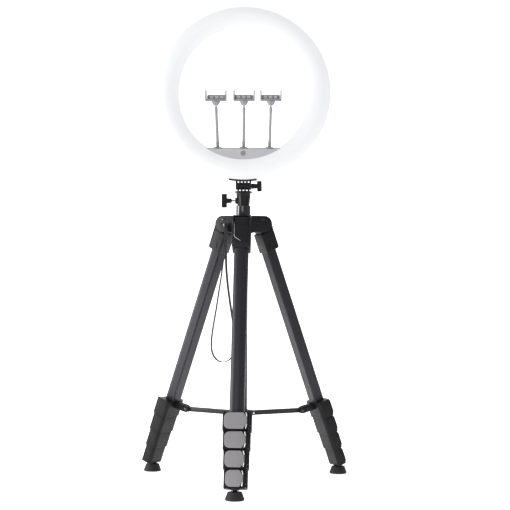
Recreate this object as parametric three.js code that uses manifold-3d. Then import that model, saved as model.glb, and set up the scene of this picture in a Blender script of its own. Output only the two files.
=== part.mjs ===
// Ring light on a folding five-section tripod. Millimetres, +Z up.
// The vertical axis of the tripod is x = y = 0 while the parts are built. The whole
// group is shifted at the end so that the origin is under the middle of its box.
import * as THREE from 'three';
import { mergeVertices } from 'three/addons/utils/BufferGeometryUtils.js';
import Module from 'manifold-3d';

const wasm = await Module();
wasm.setup();

// ---------------------------------------------------------------- driving dimensions
const GAP = 0.3; // running gap between pieces that touch

// ring head
const RING_Z = 800.8; // height of the ring's centre
const RING_R = 179.4; // outer radius
const RING_HOLE_R = 134.6; // radius of the central opening
const RING_BACK_Y = 20; // back face
const RING_RIM_Y = -10; // parting line between housing and diffuser
const RING_FRONT_Y = -25; // crown of the diffuser
const PANEL_TOP_Z = 685.5; // chord of the crescent panel
const BUTTON_Z = 675;
const ARM_X = [-53.5, 0, 53.5]; // phone arms, at their feet
const ARM_LEAN = [-3.0, 0.2, 1.7]; // sideways lean of each arm, degrees
const ARM_Y = -3;
const ARM_BALL_Z = 691.8; // ball at the foot of an arm
const CLIP_BALL_H = 85.4; // ball at the head of an arm, above the foot ball
const CLIP_HALF = 22; // half the width of a closed clip

// tilt joint and adapter
const TILT_Z = 608.4;
const FINGER_T = 3.2;
const FINGER_PITCH = 3.55;
const FINGER_R = 7.6;
const FLANGE_R = 18.2;
const ADAPTER_BOTTOM_Z = 568.3;
const ADAPTER_TOP_Z = 598;
const KNOB_Z = 578.2;

// tripod
const SPREAD = THREE.MathUtils.degToRad(20.34); // leg angle from the vertical
const PIVOT_R = 41.2; // leg hinge, from the axis
const PIVOT_Z = 530.2;
const YOKE_R = 17.3;
const YOKE_IN = 15.0; // inner face of a yoke cheek
const YOKE_OUT = 18.7;
const TONGUE_HALF = 14.6;
const SECTION_W = [29, 26, 23, 20, 17]; // leg tube widths
const SECTION_D = [26, 23, 20, 17, 13]; // leg tube depths
const SECTION_TOP = [30.3, 62, 70, 78, 86]; // upper end of each tube, down the leg
const WALL = 1.2;
const LOCK_S = [396.4, 433.3, 470.2, 507.1]; // upper face of each lock collar
const LOCK_H = 36.3;
const LOCK_L = [-25.9, -24.3, -22.6, -20.8]; // free edge of each lever
const LOCK_HINGE = [26.4, 24.7, 23.0, 21.2]; // hinge axis of each lever
const ANKLE_R = 231.1;
const ANKLE_Z = 11;
const FOOT_R = 18.5;
const BRACE_Z = 139;
const BRACE_IN_R = 24;
const BRACE_OUT_R = 140;
const GUIDE_R = 10;
const COLUMN_R = 8.3;

// ---------------------------------------------------------------- materials
const mat = (color, roughness, metalness) => new THREE.MeshStandardMaterial({ color, roughness, metalness });
const BLACK = () => mat(0x1c1c1f, 0.5, 0.0);
const TUBE = () => mat(0x1f1f23, 0.35, 0.7);
const LEVER = () => mat(0x8e8b8d, 0.5, 0.0);
const RUBBER = () => mat(0x141415, 0.85, 0.0);
const WHITE = () => mat(0xf2f3f5, 0.4, 0.0);
const OPAL = () => mat(0xf7f8fb, 0.55, 0.0);
const GREY = () => mat(0xbdbdc1, 0.5, 0.0);
const BOARD = () => mat(0xe9e9e4, 0.6, 0.0);
const WEB = () => mat(0x17171a, 0.9, 0.0);

// ---------------------------------------------------------------- helpers
// Welds a geometry, drops degenerate triangles and turns it outward.
function clean(geometry) {
  let g = geometry.clone();
  for (const key of Object.keys(g.attributes)) if (key !== 'position') g.deleteAttribute(key);
  g = mergeVertices(g, 1e-4);
  const p = g.attributes.position;
  const index = g.index.array;
  const a = new THREE.Vector3();
  const b = new THREE.Vector3();
  const c = new THREE.Vector3();
  const keep = [];
  let volume = 0;
  for (let i = 0; i < index.length; i += 3) {
    const [i0, i1, i2] = [index[i], index[i + 1], index[i + 2]];
    if (i0 === i1 || i1 === i2 || i0 === i2) continue;
    keep.push([i0, i1, i2]);
    a.fromBufferAttribute(p, i0);
    b.fromBufferAttribute(p, i1);
    c.fromBufferAttribute(p, i2);
    volume += a.dot(b.cross(c));
  }
  g.setIndex(keep.map((t) => (volume < 0 ? [t[0], t[2], t[1]] : t)).flat());
  return g;
}

function toSolid(geometry) {
  const g = clean(geometry);
  return new wasm.Manifold(
    new wasm.Mesh({
      numProp: 3,
      vertProperties: new Float32Array(g.attributes.position.array),
      triVerts: new Uint32Array(g.index.array),
    }),
  );
}

function fromSolid(solid) {
  const mesh = solid.getMesh();
  const g = new THREE.BufferGeometry();
  const n = mesh.numProp;
  const positions = new Float32Array((mesh.vertProperties.length / n) * 3);
  for (let i = 0; i < positions.length / 3; i++) {
    positions[3 * i] = mesh.vertProperties[n * i];
    positions[3 * i + 1] = mesh.vertProperties[n * i + 1];
    positions[3 * i + 2] = mesh.vertProperties[n * i + 2];
  }
  g.setAttribute('position', new THREE.BufferAttribute(positions, 3));
  g.setIndex(Array.from(mesh.triVerts));
  return g;
}

const join = (...parts) => fromSolid(parts.map(toSolid).reduce((s, t) => s.add(t)));
const cut = (body, ...tools) => fromSolid(tools.map(toSolid).reduce((s, t) => s.subtract(t), toSolid(body)));

const box = (x0, x1, y0, y1, z0, z1) =>
  new THREE.BoxGeometry(x1 - x0, y1 - y0, z1 - z0).translate((x0 + x1) / 2, (y0 + y1) / 2, (z0 + z1) / 2);

// Round bar along x, y or z from lo to hi. c is its centre in the other two axes.
function bar(axis, lo, hi, r0, r1, c, seg = 12) {
  const g = new THREE.CylinderGeometry(r1, r0, hi - lo, seg);
  const m = (lo + hi) / 2;
  if (axis === 'x') return g.rotateZ(-Math.PI / 2).translate(m, c[0], c[1]);
  if (axis === 'z') return g.rotateX(Math.PI / 2).translate(c[0], c[1], m);
  return g.translate(c[0], m, c[1]);
}

// Prism of a closed outline along x (outline in y, z), y (x, z) or z (x, y).
function prism(axis, outline, lo, hi) {
  const shape = new THREE.Shape(outline.map(([u, v]) => new THREE.Vector2(u, v)));
  const g = new THREE.ExtrudeGeometry(shape, { depth: hi - lo, bevelEnabled: false });
  const m = new THREE.Matrix4();
  if (axis === 'x') m.makeBasis(new THREE.Vector3(0, 1, 0), new THREE.Vector3(0, 0, 1), new THREE.Vector3(1, 0, 0)).setPosition(lo, 0, 0);
  else if (axis === 'y') m.makeBasis(new THREE.Vector3(1, 0, 0), new THREE.Vector3(0, 0, 1), new THREE.Vector3(0, -1, 0)).setPosition(0, hi, 0);
  else m.makeTranslation(0, 0, lo);
  return g.applyMatrix4(m);
}

// Revolved profile of (radius, height) points about z or, for the ring, about y.
function turned(points, seg, axis = 'z') {
  const g = new THREE.LatheGeometry(points.map(([r, h]) => new THREE.Vector2(r, h)), seg);
  return axis === 'z' ? g.rotateX(Math.PI / 2) : g;
}

const arc = (cu, cv, r, a0, a1, n) =>
  Array.from({ length: n + 1 }, (_, i) => {
    const a = THREE.MathUtils.degToRad(a0 + ((a1 - a0) * i) / n);
    return [cu + r * Math.cos(a), cv + r * Math.sin(a)];
  });

const mirrorX = (outline) => outline.map(([u, v]) => [-u, v]);

// D-shaped leg tube outline in x, y: flat towards the axis (+y), rounded outward (-y).
function dOutline(w, d) {
  const h = d / 2;
  const round = [];
  for (let i = 0; i <= 4; i++) {
    const a = -(Math.PI * i) / 4;
    round.push([(w / 2) * Math.cos(a), -h * 0.2 + h * 0.8 * Math.sin(a)]);
  }
  return [[w / 2 - 2.5, h], [w / 2, h - 2.5], ...round, [-w / 2, h - 2.5], [-w / 2 + 2.5, h]];
}

function piece(parent, name, geometry, material) {
  const mesh = new THREE.Mesh(clean(geometry), material);
  mesh.name = name;
  parent.add(mesh);
  return mesh;
}

const root = new THREE.Group();

// ================================================================ ring head
const head = new THREE.Group();
head.position.set(0, 0, RING_Z);
root.add(head);

// Trough of the rear housing, open to the front. The ring's axis is y.
const inletA = THREE.MathUtils.degToRad(25);
const inletX = 157 * Math.sin(inletA);
const inletZ = 157 * Math.cos(inletA); // the lathe's z runs down once it is turned over
const housing = turned(
  [
    [RING_HOLE_R, RING_RIM_Y], [RING_HOLE_R, 14], [140.5, RING_BACK_Y], [173.5, RING_BACK_Y], [RING_R, 14], [RING_R, RING_RIM_Y],
    [RING_R - 2.3, RING_RIM_Y], [RING_R - 2.3, 13], [172.6, 17.6], [141.4, 17.6], [RING_HOLE_R + 2.3, 13], [RING_HOLE_R + 2.3, RING_RIM_Y],
    [RING_HOLE_R, RING_RIM_Y],
  ],
  36,
  'y',
);
piece(
  head,
  'ring_rear_housing',
  cut(join(housing, bar('y', 9, 18.5, 7, 7, [inletX, -inletZ], 8)), bar('y', 12, 25, 3.2, 3.2, [inletX, -inletZ], 8)),
  WHITE(),
);
piece(
  head,
  'ring_diffuser',
  turned(
    [
      [RING_HOLE_R, -10.3], [135.0, -13.6], [138.6, -17.4], [146, -22.3], [157, RING_FRONT_Y], [168, -22.3], [176.4, -16.6], [RING_R, -10.3],
      [177.2, -10.3], [174.2, -15.0], [166.5, -20.0], [157, -22.6], [147.2, -19.8], [139.6, -15.0], [136.8, -10.3],
      [RING_HOLE_R, -10.3],
    ],
    36,
    'y',
  ),
  OPAL(),
);
piece(head, 'led_board', turned([[141, 2], [141, 3.6], [172, 3.6], [172, 2], [141, 2]], 24, 'y'), BOARD());

// Crescent control panel: a box filling the foot of the opening behind a thin bezel
// that laps over the diffuser's inner slope, with a cup for each phone arm.
function segment(r, chord, n) {
  const a = THREE.MathUtils.radToDeg(Math.asin(chord / r)); // negative
  return arc(0, 0, r, a, -180 - a, n);
}
const chord = PANEL_TOP_Z - RING_Z;
const cups = ARM_X.map((x) =>
  turned([[0, -1], [9.25, -1], [9.25, 2.6], [6.4, 4.0], [4.4, 3.6], [4.4, 2.2], [0, 2.2]], 10).translate(x, ARM_Y, chord),
);
piece(
  head,
  'control_panel',
  cut(
    join(prism('y', segment(133.7, chord, 14), -18, 12), prism('y', segment(138.3, chord, 14), -19.5, -17.7), ...cups),
    bar('y', -30, -14, 3.9, 3.9, [0, BUTTON_Z - RING_Z], 12),
  ),
  GREY(),
);
piece(
  head,
  'power_button',
  turned([[0, 0], [3.5, 0], [3.5, 5.0], [2.8, 5.9], [0, 6.1]], 12)
    .rotateX(Math.PI / 2)
    .translate(0, -14.6, BUTTON_Z - RING_Z),
  GREY(),
);

// Phone arms and their clips
['left', 'centre', 'right'].forEach((side, i) => {
  const arm = new THREE.Group();
  arm.position.set(ARM_X[i], ARM_Y, ARM_BALL_Z - RING_Z);
  arm.rotation.y = THREE.MathUtils.degToRad(ARM_LEAN[i]);
  head.add(arm);
  const h = CLIP_BALL_H;
  piece(
    arm,
    `${side}_phone_arm`,
    turned(
      [
        [0, -3.6], [2.6, -2.5], [3.6, 0], [3.0, 10], [3.0, h - 17], [3.4, h - 6.5], [1.8, h - 5.2], [1.8, h - 2.9],
        [3.3, h - 0.8], [3.1, h + 1.4], [1.8, h + 2.9], [0, h + 3.4],
      ],
      8,
    ),
    GREY(),
  );
  const clip = new THREE.Group();
  clip.position.set(0, 0, h);
  clip.rotation.y = -THREE.MathUtils.degToRad(ARM_LEAN[i]);
  arm.add(clip);
  const dir = side === 'left' ? -1 : 1; // side the sliding jaw is on
  const face = (outline) => (dir < 0 ? mirrorX(outline).reverse() : outline);
  // funnel with a ball cup, bar, back plate and the fixed jaw
  const funnel = turned([[3.9, -1.3], [5.2, -1.3], [8.75, 5.5], [8.75, 7.4], [0, 7.4], [0, 4.6], [3.0, 4.0], [3.9, 1.6], [3.9, -1.3]], 10);
  const fixed = join(
    funnel,
    prism('y', face([[-CLIP_HALF, 7], [19.2, 7], [19.2, 11.2], [-CLIP_HALF + 2.6, 11.2], [-CLIP_HALF + 1.8, 31], [-CLIP_HALF, 31]]), -6.5, 6.5),
    prism('y', face([[-CLIP_HALF, 10.8], [18.6, 10.8], [18.6, 21], [-CLIP_HALF, 21]]), 4.3, 6.5),
  );
  // channel along the bar for the sliding jaw's tongue
  const channel = prism('y', face([[-17, 8.3], [25, 8.3], [25, 10.0], [-17, 10.0]]), -3.3, 3.3);
  piece(clip, `${side}_clip_body`, cut(fixed, channel), GREY());
  piece(
    clip,
    `${side}_clip_jaw`,
    join(
      prism('y', face([[-16.5, 8.6], [21, 8.6], [21, 9.7], [-16.5, 9.7]]), -3, 3),
      prism('y', face([[19.5, 7], [CLIP_HALF, 7], [CLIP_HALF, 31], [CLIP_HALF - 1.8, 31], [CLIP_HALF - 2.5, 12]]), -6.5, 6.5),
    ),
    GREY(),
  );
});

// ================================================================ tilt joint
// Saddle strap under the ring with five fingers.
const saddleArc = (r, x0, x1, n, up) => {
  const a0 = -90 + THREE.MathUtils.radToDeg(Math.asin(x0 / r));
  const a1 = -90 + THREE.MathUtils.radToDeg(Math.asin(x1 / r));
  const pts = arc(0, RING_Z, r, a0, a1, n);
  return up ? pts.reverse() : pts;
};
const fingerOutline = (down) =>
  down
    ? [[-9, 619.4], [-FINGER_R, 612], ...arc(0, TILT_Z, FINGER_R, 180, 360, 5), [FINGER_R, 612], [9, 619.4]]
    : [[9, ADAPTER_TOP_Z - 1.5], [FINGER_R, 605], ...arc(0, TILT_Z, FINGER_R, 0, 180, 5), [-FINGER_R, 605], [-9, ADAPTER_TOP_Z - 1.5]];
const finger = (x, down) => prism('x', fingerOutline(down), x - FINGER_T / 2, x + FINGER_T / 2);
piece(
  root,
  'saddle_bracket',
  cut(
    join(
      prism('y', [...saddleArc(182.2, -30.5, 27.4, 6, false), ...saddleArc(180.0, -30.5, 27.4, 6, true)], -12, 15),
      ...[-4, -2, 0, 2, 4].map((k) => finger(k * FINGER_PITCH, true)),
    ),
    bar('x', -20, 20, 2.8, 2.8, [0, TILT_Z], 8),
  ),
  BLACK(),
);
piece(
  root,
  'tilt_knob',
  join(
    bar('x', -15.4, 18, 2.4, 2.4, [0, TILT_Z], 8),
    bar('x', 16.3, 28.6, 5.6, 4.6, [0, TILT_Z], 10),
    prism('x', [[-3.6, -12], [3.6, -12], [3.6, 12], [-3.6, 12]], 28, 37.8)
      .rotateX(THREE.MathUtils.degToRad(33))
      .translate(0, 0, TILT_Z),
  ),
  BLACK(),
);

// Adapter: four fingers on a flange, tapering socket, side boss with a clamp screw.
piece(
  root,
  'adapter_socket',
  cut(
    join(
      turned(
        [
          [0, ADAPTER_BOTTOM_Z], [12.5, ADAPTER_BOTTOM_Z], [14.8, 592], [14.8, 594], [FLANGE_R, 594.6], [FLANGE_R, 597.2], [16.8, ADAPTER_TOP_Z], [0, ADAPTER_TOP_Z],
        ],
        16,
      ),
      bar('x', -17, -8.6, 6.4, 6.6, [0, KNOB_Z], 10),
      ...[-3, -1, 1, 3].map((k) => finger(k * FINGER_PITCH, false)),
    ),
    bar('x', -20, 20, 2.8, 2.8, [0, TILT_Z], 8),
    bar('x', -20, 0, 2.1, 2.1, [0, KNOB_Z], 8),
    bar('z', ADAPTER_BOTTOM_Z - 1, 590.4, 8.3, 8.3, [0, 0], 14),
  ),
  BLACK(),
);
piece(
  root,
  'adapter_knob',
  join(
    bar('x', -26, -8.9, 1.8, 1.8, [0, KNOB_Z], 8),
    bar('x', -35, -24, 5.2, 5.2, [0, KNOB_Z], 10),
    box(-45, -34.2, -4, 4, KNOB_Z - 14.35, KNOB_Z + 14.35),
  ),
  BLACK(),
);

// ================================================================ column and spider
piece(
  root,
  'center_column',
  turned(
    [
      [0, 542], [6.9, 542], [6.9, 150], [COLUMN_R, 150], [COLUMN_R, 547.6], [15, 547.6], [15, 568], [7.9, 568], [7.9, 590], [0, 590],
    ],
    14,
  ),
  TUBE(),
);
piece(root, 'guide_tube', turned([[8.6, 118], [GUIDE_R, 118], [GUIDE_R, 540], [8.6, 540], [8.6, 118]], 14), TUBE());

const spun = (geometry, k) => geometry.rotateZ((k * 2 * Math.PI) / 3);
const cheek = [[-8, PIVOT_Z + 17], ...arc(-PIVOT_R, PIVOT_Z, YOKE_R, 90, 270, 7), [-8, PIVOT_Z - YOKE_R]];
const spiderParts = [turned([[0, 511], [19, 511], [20, 512.5], [20, 547.2], [0, 547.2]], 18)];
for (let k = 0; k < 3; k++) {
  spiderParts.push(spun(prism('x', cheek, YOKE_IN, YOKE_OUT), k));
  spiderParts.push(spun(prism('x', cheek, -YOKE_OUT, -YOKE_IN), k));
  spiderParts.push(spun(box(-YOKE_IN - 0.5, YOKE_IN + 0.5, -PIVOT_R - 5.6, -14, PIVOT_Z + 15, PIVOT_Z + 17), k));
  spiderParts.push(spun(bar('x', -YOKE_IN - 0.5, YOKE_IN + 0.5, 4, 4, [-PIVOT_R, PIVOT_Z], 8), k));
}
spiderParts.push(bar('y', 15, 31.5, 8, 7.4, [0, 529], 10));
piece(
  root,
  'spider',
  cut(
    join(...spiderParts),
    bar('z', 500, 540.3, 10.4, 10.4, [0, 0], 14),
    bar('z', 530, 560, 8.7, 8.7, [0, 0], 14),
    bar('y', 5, 40, 3.3, 3.3, [0, 529], 8),
  ),
  BLACK(),
);
piece(
  root,
  'column_lock_knob',
  join(bar('y', 10.8, 34, 2.9, 2.9, [0, 529], 8), turned([[0, 32], [9, 32], [11, 34], [11, 42], [9.4, 44], [0, 44]], 12).rotateX(-Math.PI / 2).translate(0, 0, 529)),
  BLACK(),
);

// ================================================================ mid-level brace
const hubParts = [turned([[10.4, 132], [17.8, 132], [17.8, 146], [10.4, 146], [10.4, 132]], 14)];
const hubLug = [[-15.6, BRACE_Z + 5.2], ...arc(-BRACE_IN_R, BRACE_Z, 5.2, 90, 270, 4), [-15.6, BRACE_Z - 5.2]];
for (let k = 0; k < 3; k++) {
  hubParts.push(spun(prism('x', hubLug, 2.8, 5.6), k));
  hubParts.push(spun(prism('x', hubLug, -5.6, -2.8), k));
  hubParts.push(spun(bar('x', -3.3, 3.3, 1.8, 1.8, [-BRACE_IN_R, BRACE_Z], 6), k));
}
piece(root, 'brace_hub', cut(join(...hubParts), bar('z', 120, 160, 10.4, 10.4, [0, 0], 14)), BLACK());

// ================================================================ legs
['front', 'right', 'left'].forEach((side, k) => {
  const turn = new THREE.Group(); // front leg towards -y, the others a third of a turn on
  turn.rotation.z = (k * 2 * Math.PI) / 3;
  root.add(turn);

  // brace arm, level, from the hub to the fork on the lowest collar of the main tube
  piece(
    turn,
    `${side}_brace_arm`,
    cut(
      prism('x', [...arc(-BRACE_OUT_R, BRACE_Z, 5, 90, 270, 4), ...arc(-BRACE_IN_R, BRACE_Z, 5, 270, 450, 4)], -2.5, 2.5),
      bar('x', -5, 5, 2.2, 2.2, [-BRACE_IN_R, BRACE_Z], 6),
      bar('x', -5, 5, 2.2, 2.2, [-BRACE_OUT_R, BRACE_Z], 6),
    ),
    BLACK(),
  );

  // leg frame: x across the leg, y towards the axis, z up the leg, origin at its hinge
  const leg = new THREE.Group();
  leg.position.set(0, -PIVOT_R, PIVOT_Z);
  leg.rotation.x = -SPREAD;
  turn.add(leg);

  const socketSide = [[-15.4, -9], [-15.4, -53], [-13.4, -56], [13.3, -60], [14.8, -58], [14.8, -18], [0, -18], [0, -10]];
  piece(
    leg,
    `${side}_leg_socket`,
    cut(
      join(
        cut(prism('x', socketSide, -18.5, 18.5), bar('x', -30, 30, 17.7, 17.7, [0, 0], 20)),
        prism('x', [...arc(0, 0, 14.5, 0, 180, 7), [-14.2, -8], [-14.2, -29], [12, -29], [12, -14]], -TONGUE_HALF, TONGUE_HALF),
      ),
      bar('x', -30, 30, 4.4, 4.4, [0, 0], 8),
      prism('z', dOutline(SECTION_W[0] + 0.6, SECTION_D[0] + 0.6), -70, -30),
    ),
    BLACK(),
  );

  for (let i = 0; i < 5; i++) {
    const w = SECTION_W[i];
    const d = SECTION_D[i];
    const top = -SECTION_TOP[i];
    const bore = prism('z', dOutline(w - 2 * WALL, d - 2 * WALL), i < 4 ? -LOCK_S[i] - LOCK_H - 1 : -520, top + 1);
    if (i === 4) {
      // innermost tube, closed at the foot by a plug with the ankle tongue
      const ankleY = 2.4;
      const ankleZ = -552.83;
      piece(
        leg,
        `${side}_leg_section_5`,
        cut(
          join(
            prism('z', dOutline(w, d), -545.2, top),
            prism('x', [[ankleY + 4, -543.6], [ankleY - 4, -543.6], ...arc(ankleY, ankleZ, 4, 180, 360, 4)], -4, 4),
          ),
          bore,
          bar('x', -9, 9, 2.2, 2.2, [ankleY, ankleZ], 6),
        ),
        TUBE(),
      );
      continue;
    }
    const z1 = -LOCK_S[i];
    const z0 = z1 - LOCK_H;
    const face = -(d / 2 + 1.2); // outward face of the collar
    const back = d / 2 + 1;
    const xl = LOCK_L[i] - 0.8;
    const xh = LOCK_HINGE[i];
    const yh = face - 2.4;
    const xr = xh + 3.4;
    const collar = prism('z', [[xl, face + 3], [xl + 1.5, face], [xr, face], [xr, back - 4], [xr - 5, back], [xl + 5, back], [xl, back - 4]], z0, z1);
    const parts = [prism('z', dOutline(w, d), z0 + 5, top), collar];
    for (const [e0, e1] of [[z0, z0 + 6.8], [z1 - 6.8, z1]]) {
      parts.push(bar('z', e0, e1, 2.2, 2.2, [xh, yh], 8));
      parts.push(box(xh - 2.2, xr, yh, face + 1, e0, e1));
    }
    parts.push(bar('z', z0 + 6, z1 - 6, 0.9, 0.9, [xh, yh], 6));
    if (i === 0) {
      // open fork for the outer end of the brace arm
      const fork = [[back - 1, -397.4], [back - 1, -411], [38.7, -408.8], [46.7, -407.3], [50.3, -402.8], [49.7, -396.3], [44.7, -393.9], [36.7, -393.9]];
      parts.push(prism('x', fork, 2.8, 5.8), prism('x', fork, -5.8, -2.8));
      parts.push(bar('x', 5.5, 7.2, 3.6, 3.0, [43.34, -401.15], 8), bar('x', -7.2, -5.5, 3.0, 3.6, [43.34, -401.15], 8));
    }
    const section = new THREE.Group();
    leg.add(section);
    piece(section, `${side}_leg_section_${i + 1}`, cut(join(...parts), bore), TUBE());

    // flip lever: crowned plate and its hinge barrel
    const f = face - GAP;
    const xe = xh - 4.1;
    const plate = prism('z', [[xl + 0.8, f], [xl + 0.8, f - 1.3], [xl + 4.6, f - 2.8], [xl * 0.3 + xe * 0.3, f - 3.6], [xe - 5, f - 3.1], [xe, f - 2.6], [xe, f]], z0 + 1.2, z1 - 1.2);
    piece(
      section,
      `${side}_lock_lever_${i + 1}`,
      cut(
        join(plate, bar('z', z0 + 7.4, z1 - 7.4, 2, 2, [xh, yh], 8), box(xe - 1, xh - 0.9, yh - 1.6, yh + 0.8, z0 + 7.4, z1 - 7.4)),
        bar('z', z0, z1, 1.3, 1.3, [xh, yh], 6),
      ),
      LEVER(),
    );
  }

  // rubber foot, upright under its leg, with a slot and a pin for the ankle tongue
  const foot = new THREE.Group();
  foot.position.set(0, -ANKLE_R, 0);
  turn.add(foot);
  piece(
    foot,
    `${side}_foot`,
    join(
      cut(
        turned([[0, 0], [17.6, 0], [FOOT_R, 0.8], [FOOT_R, 3.2], [12.6, 14], [11.8, 15], [0, 15]], 16),
        box(-4.5, 4.5, -10.5, 10.5, 6.2, 30),
      ),
      bar('x', -5.5, 5.5, 1.8, 1.8, [0, ANKLE_Z], 6),
    ),
    RUBBER(),
  );
});

// ================================================================ carry strap
// One closed loop of flat webbing hanging from the left yoke, both ends at its rivet.
const STRAP_PATH = [
  [-36.9, -8.2, 523], [-37.4, -8.6, 505], [-38.0, -9.6, 487], [-39.2, -10.8, 464], [-42.9, -12.6, 430], [-48.2, -14.4, 393],
  [-54.5, -16.0, 350], [-60.6, -17.4, 312], [-63.2, -18.2, 286], [-61.6, -18.6, 267], [-55.0, -18.8, 253.5], [-45.0, -19.0, 246.5],
  [-34.0, -19.2, 246.5], [-23.5, -19.6, 252.8], [-16.6, -20.2, 266], [-14.6, -20.4, 285], [-16.0, -20.0, 306], [-19.6, -18.8, 332],
  [-25.0, -16.6, 366], [-30.2, -14.2, 402], [-33.6, -12.0, 437], [-34.6, -10.4, 470], [-34.2, -9.0, 497], [-33.6, -8.4, 523],
];
const strapCurve = new THREE.CatmullRomCurve3(STRAP_PATH.map((p) => new THREE.Vector3(...p)), false, 'centripetal');
const web = new THREE.Shape(
  [[-4.5, -0.4], [-4.1, -0.8], [4.1, -0.8], [4.5, -0.4], [4.5, 0.4], [4.1, 0.8], [-4.1, 0.8], [-4.5, 0.4]].map(([u, v]) => new THREE.Vector2(u, v)),
);
piece(root, 'carry_strap', new THREE.ExtrudeGeometry(web, { steps: 38, bevelEnabled: false, extrudePath: strapCurve }), WEB());

// ================================================================ origin under the middle of the box, strap not counted
const extent = new THREE.Box3();
root.updateMatrixWorld(true);
root.traverse((o) => {
  if (o.isMesh && o.name !== 'carry_strap') extent.expandByObject(o, true);
});
const group = new THREE.Group();
root.position.set(-(extent.min.x + extent.max.x) / 2, -(extent.min.y + extent.max.y) / 2, -extent.min.z);
group.add(root);

export default group;
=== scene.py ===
import math

import bmesh
import bpy
import numpy as np
from mathutils import Matrix, Vector

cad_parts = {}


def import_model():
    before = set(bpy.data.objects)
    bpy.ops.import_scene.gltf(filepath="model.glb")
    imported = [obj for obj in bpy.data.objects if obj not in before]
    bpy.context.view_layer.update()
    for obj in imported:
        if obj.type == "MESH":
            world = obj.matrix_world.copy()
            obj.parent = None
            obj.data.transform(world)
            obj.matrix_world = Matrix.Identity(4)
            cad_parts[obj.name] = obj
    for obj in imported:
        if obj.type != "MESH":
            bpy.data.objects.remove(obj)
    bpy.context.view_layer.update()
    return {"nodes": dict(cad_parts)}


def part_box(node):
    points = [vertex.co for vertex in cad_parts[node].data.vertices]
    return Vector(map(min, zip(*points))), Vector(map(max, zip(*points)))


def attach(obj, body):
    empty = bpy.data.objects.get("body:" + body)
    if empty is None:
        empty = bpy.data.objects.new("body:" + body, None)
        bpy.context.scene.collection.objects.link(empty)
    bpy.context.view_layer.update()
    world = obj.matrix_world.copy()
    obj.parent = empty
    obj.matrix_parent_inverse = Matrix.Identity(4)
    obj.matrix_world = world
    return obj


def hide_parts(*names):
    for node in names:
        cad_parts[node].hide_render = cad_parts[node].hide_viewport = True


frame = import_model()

MM = 0.001

# ---------------------------------------------------------------- dimensions, in mm, the same as the CAD's
RING_Z, RING_R, HOLE_R = 800.8, 179.4, 134.6
PANEL_TOP = 685.5
BUTTON_Z = 675.0
ARM_X = [-53.5, 0.0, 53.5]
LEAN = [-3.0, 0.2, 1.7]
ARM_Y = -3.0
BALL_Z = 691.8
BALL_H = 85.4
CLIP_HALF = 22.0
TILT_Z = 608.4
KNOB_Z = 578.2
PITCH, FT, FR = 3.55, 3.2, 7.6
SPREAD = math.radians(20.34)
PIVOT_R, PIVOT_Z = 41.2, 530.2
SEC_W = [29, 26, 23, 20, 17]
SEC_D = [26, 23, 20, 17, 13]
SEC_TOP = [30.3, 62, 70, 78, 86]
LOCK_S = [396.4, 433.3, 470.2, 507.1]
LOCK_H = 36.3
LOCK_L = [-25.9, -24.3, -22.6, -20.8]
LOCK_X = [26.4, 24.7, 23.0, 21.2]
ANKLE_R, ANKLE_Z = 231.1, 11.0
BRACE_Z, BRACE_IN, BRACE_OUT = 139.0, 24.0, 140.0
GUIDE_R = 10.0

lo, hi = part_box("guide_tube")
SHIFT = np.array([(lo.x + hi.x) / 2 / MM, (lo.y + hi.y) / 2 / MM, 0.0])


def rad(a):
    return math.radians(a)


def world(p):
    """A point in the CAD's building frame, in mm, as metres in the row frame."""
    return tuple((np.array(p, float) + SHIFT) * MM)


# ---------------------------------------------------------------- transforms
def T(x, y, z):
    m = np.eye(4)
    m[:3, 3] = (x, y, z)
    return m


def R(axis, a):
    return np.array(Matrix.Rotation(a, 4, axis))


LEG_TURN = {"front": 0.0, "right": 2 * math.pi / 3, "left": 4 * math.pi / 3}


def turn(side):
    return R("Z", LEG_TURN[side])


def leg(side):
    return turn(side) @ T(0, -PIVOT_R, PIVOT_Z) @ R("X", -SPREAD)


HEAD = T(0, 0, RING_Z)


# ---------------------------------------------------------------- meshes
class Shell:
    """Collects closed shells; each face may carry a material index and UVs."""

    def __init__(self):
        self.v, self.f, self.m, self.uv = [], [], [], []

    def add(self, verts, faces, mat=0, M=None, uv=None):
        v = np.array(verts, float)
        if M is not None:
            v = v @ M[:3, :3].T + M[:3, 3]
        base = len(self.v)
        self.v.extend(v.tolist())
        # outward orientation by signed volume
        vol = 0.0
        for f in faces:
            a = v[f[0]]
            for i in range(1, len(f) - 1):
                vol += np.dot(a, np.cross(v[f[i]], v[f[i + 1]]))
        flip = vol < 0
        for k, f in enumerate(faces):
            g = [base + i for i in f]
            u = uv[k] if uv is not None else [(0.0, 0.0)] * len(f)
            if flip:
                g, u = g[::-1], list(u)[::-1]
            self.f.append(g)
            self.m.append(mat)
            self.uv.append(u)
        return self

    def merge(self, other):
        base = len(self.v)
        self.v.extend(other.v)
        self.f.extend([[i + base for i in f] for f in other.f])
        self.m.extend(other.m)
        self.uv.extend(other.uv)
        return self


def build(name, shell, mats, body, replaces=(), sharp=40.0):
    v = (np.array(shell.v) + SHIFT) * MM
    me = bpy.data.meshes.new(name)
    me.from_pydata(v.tolist(), [], shell.f)
    me.polygons.foreach_set("use_smooth", [True] * len(me.polygons))
    me.polygons.foreach_set("material_index", shell.m)
    layer = me.uv_layers.new(name="UVMap")
    flat = [c for f in shell.uv for p in f for c in p]
    layer.data.foreach_set("uv", flat)
    me.update()
    me.set_sharp_from_angle(angle=rad(sharp))
    for m in mats if isinstance(mats, (list, tuple)) else [mats]:
        me.materials.append(m)
    o = bpy.data.objects.new(name, me)
    bpy.context.scene.collection.objects.link(o)
    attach(o, body)
    if replaces:
        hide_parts(*([replaces] if isinstance(replaces, str) else replaces))
    return o


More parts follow.
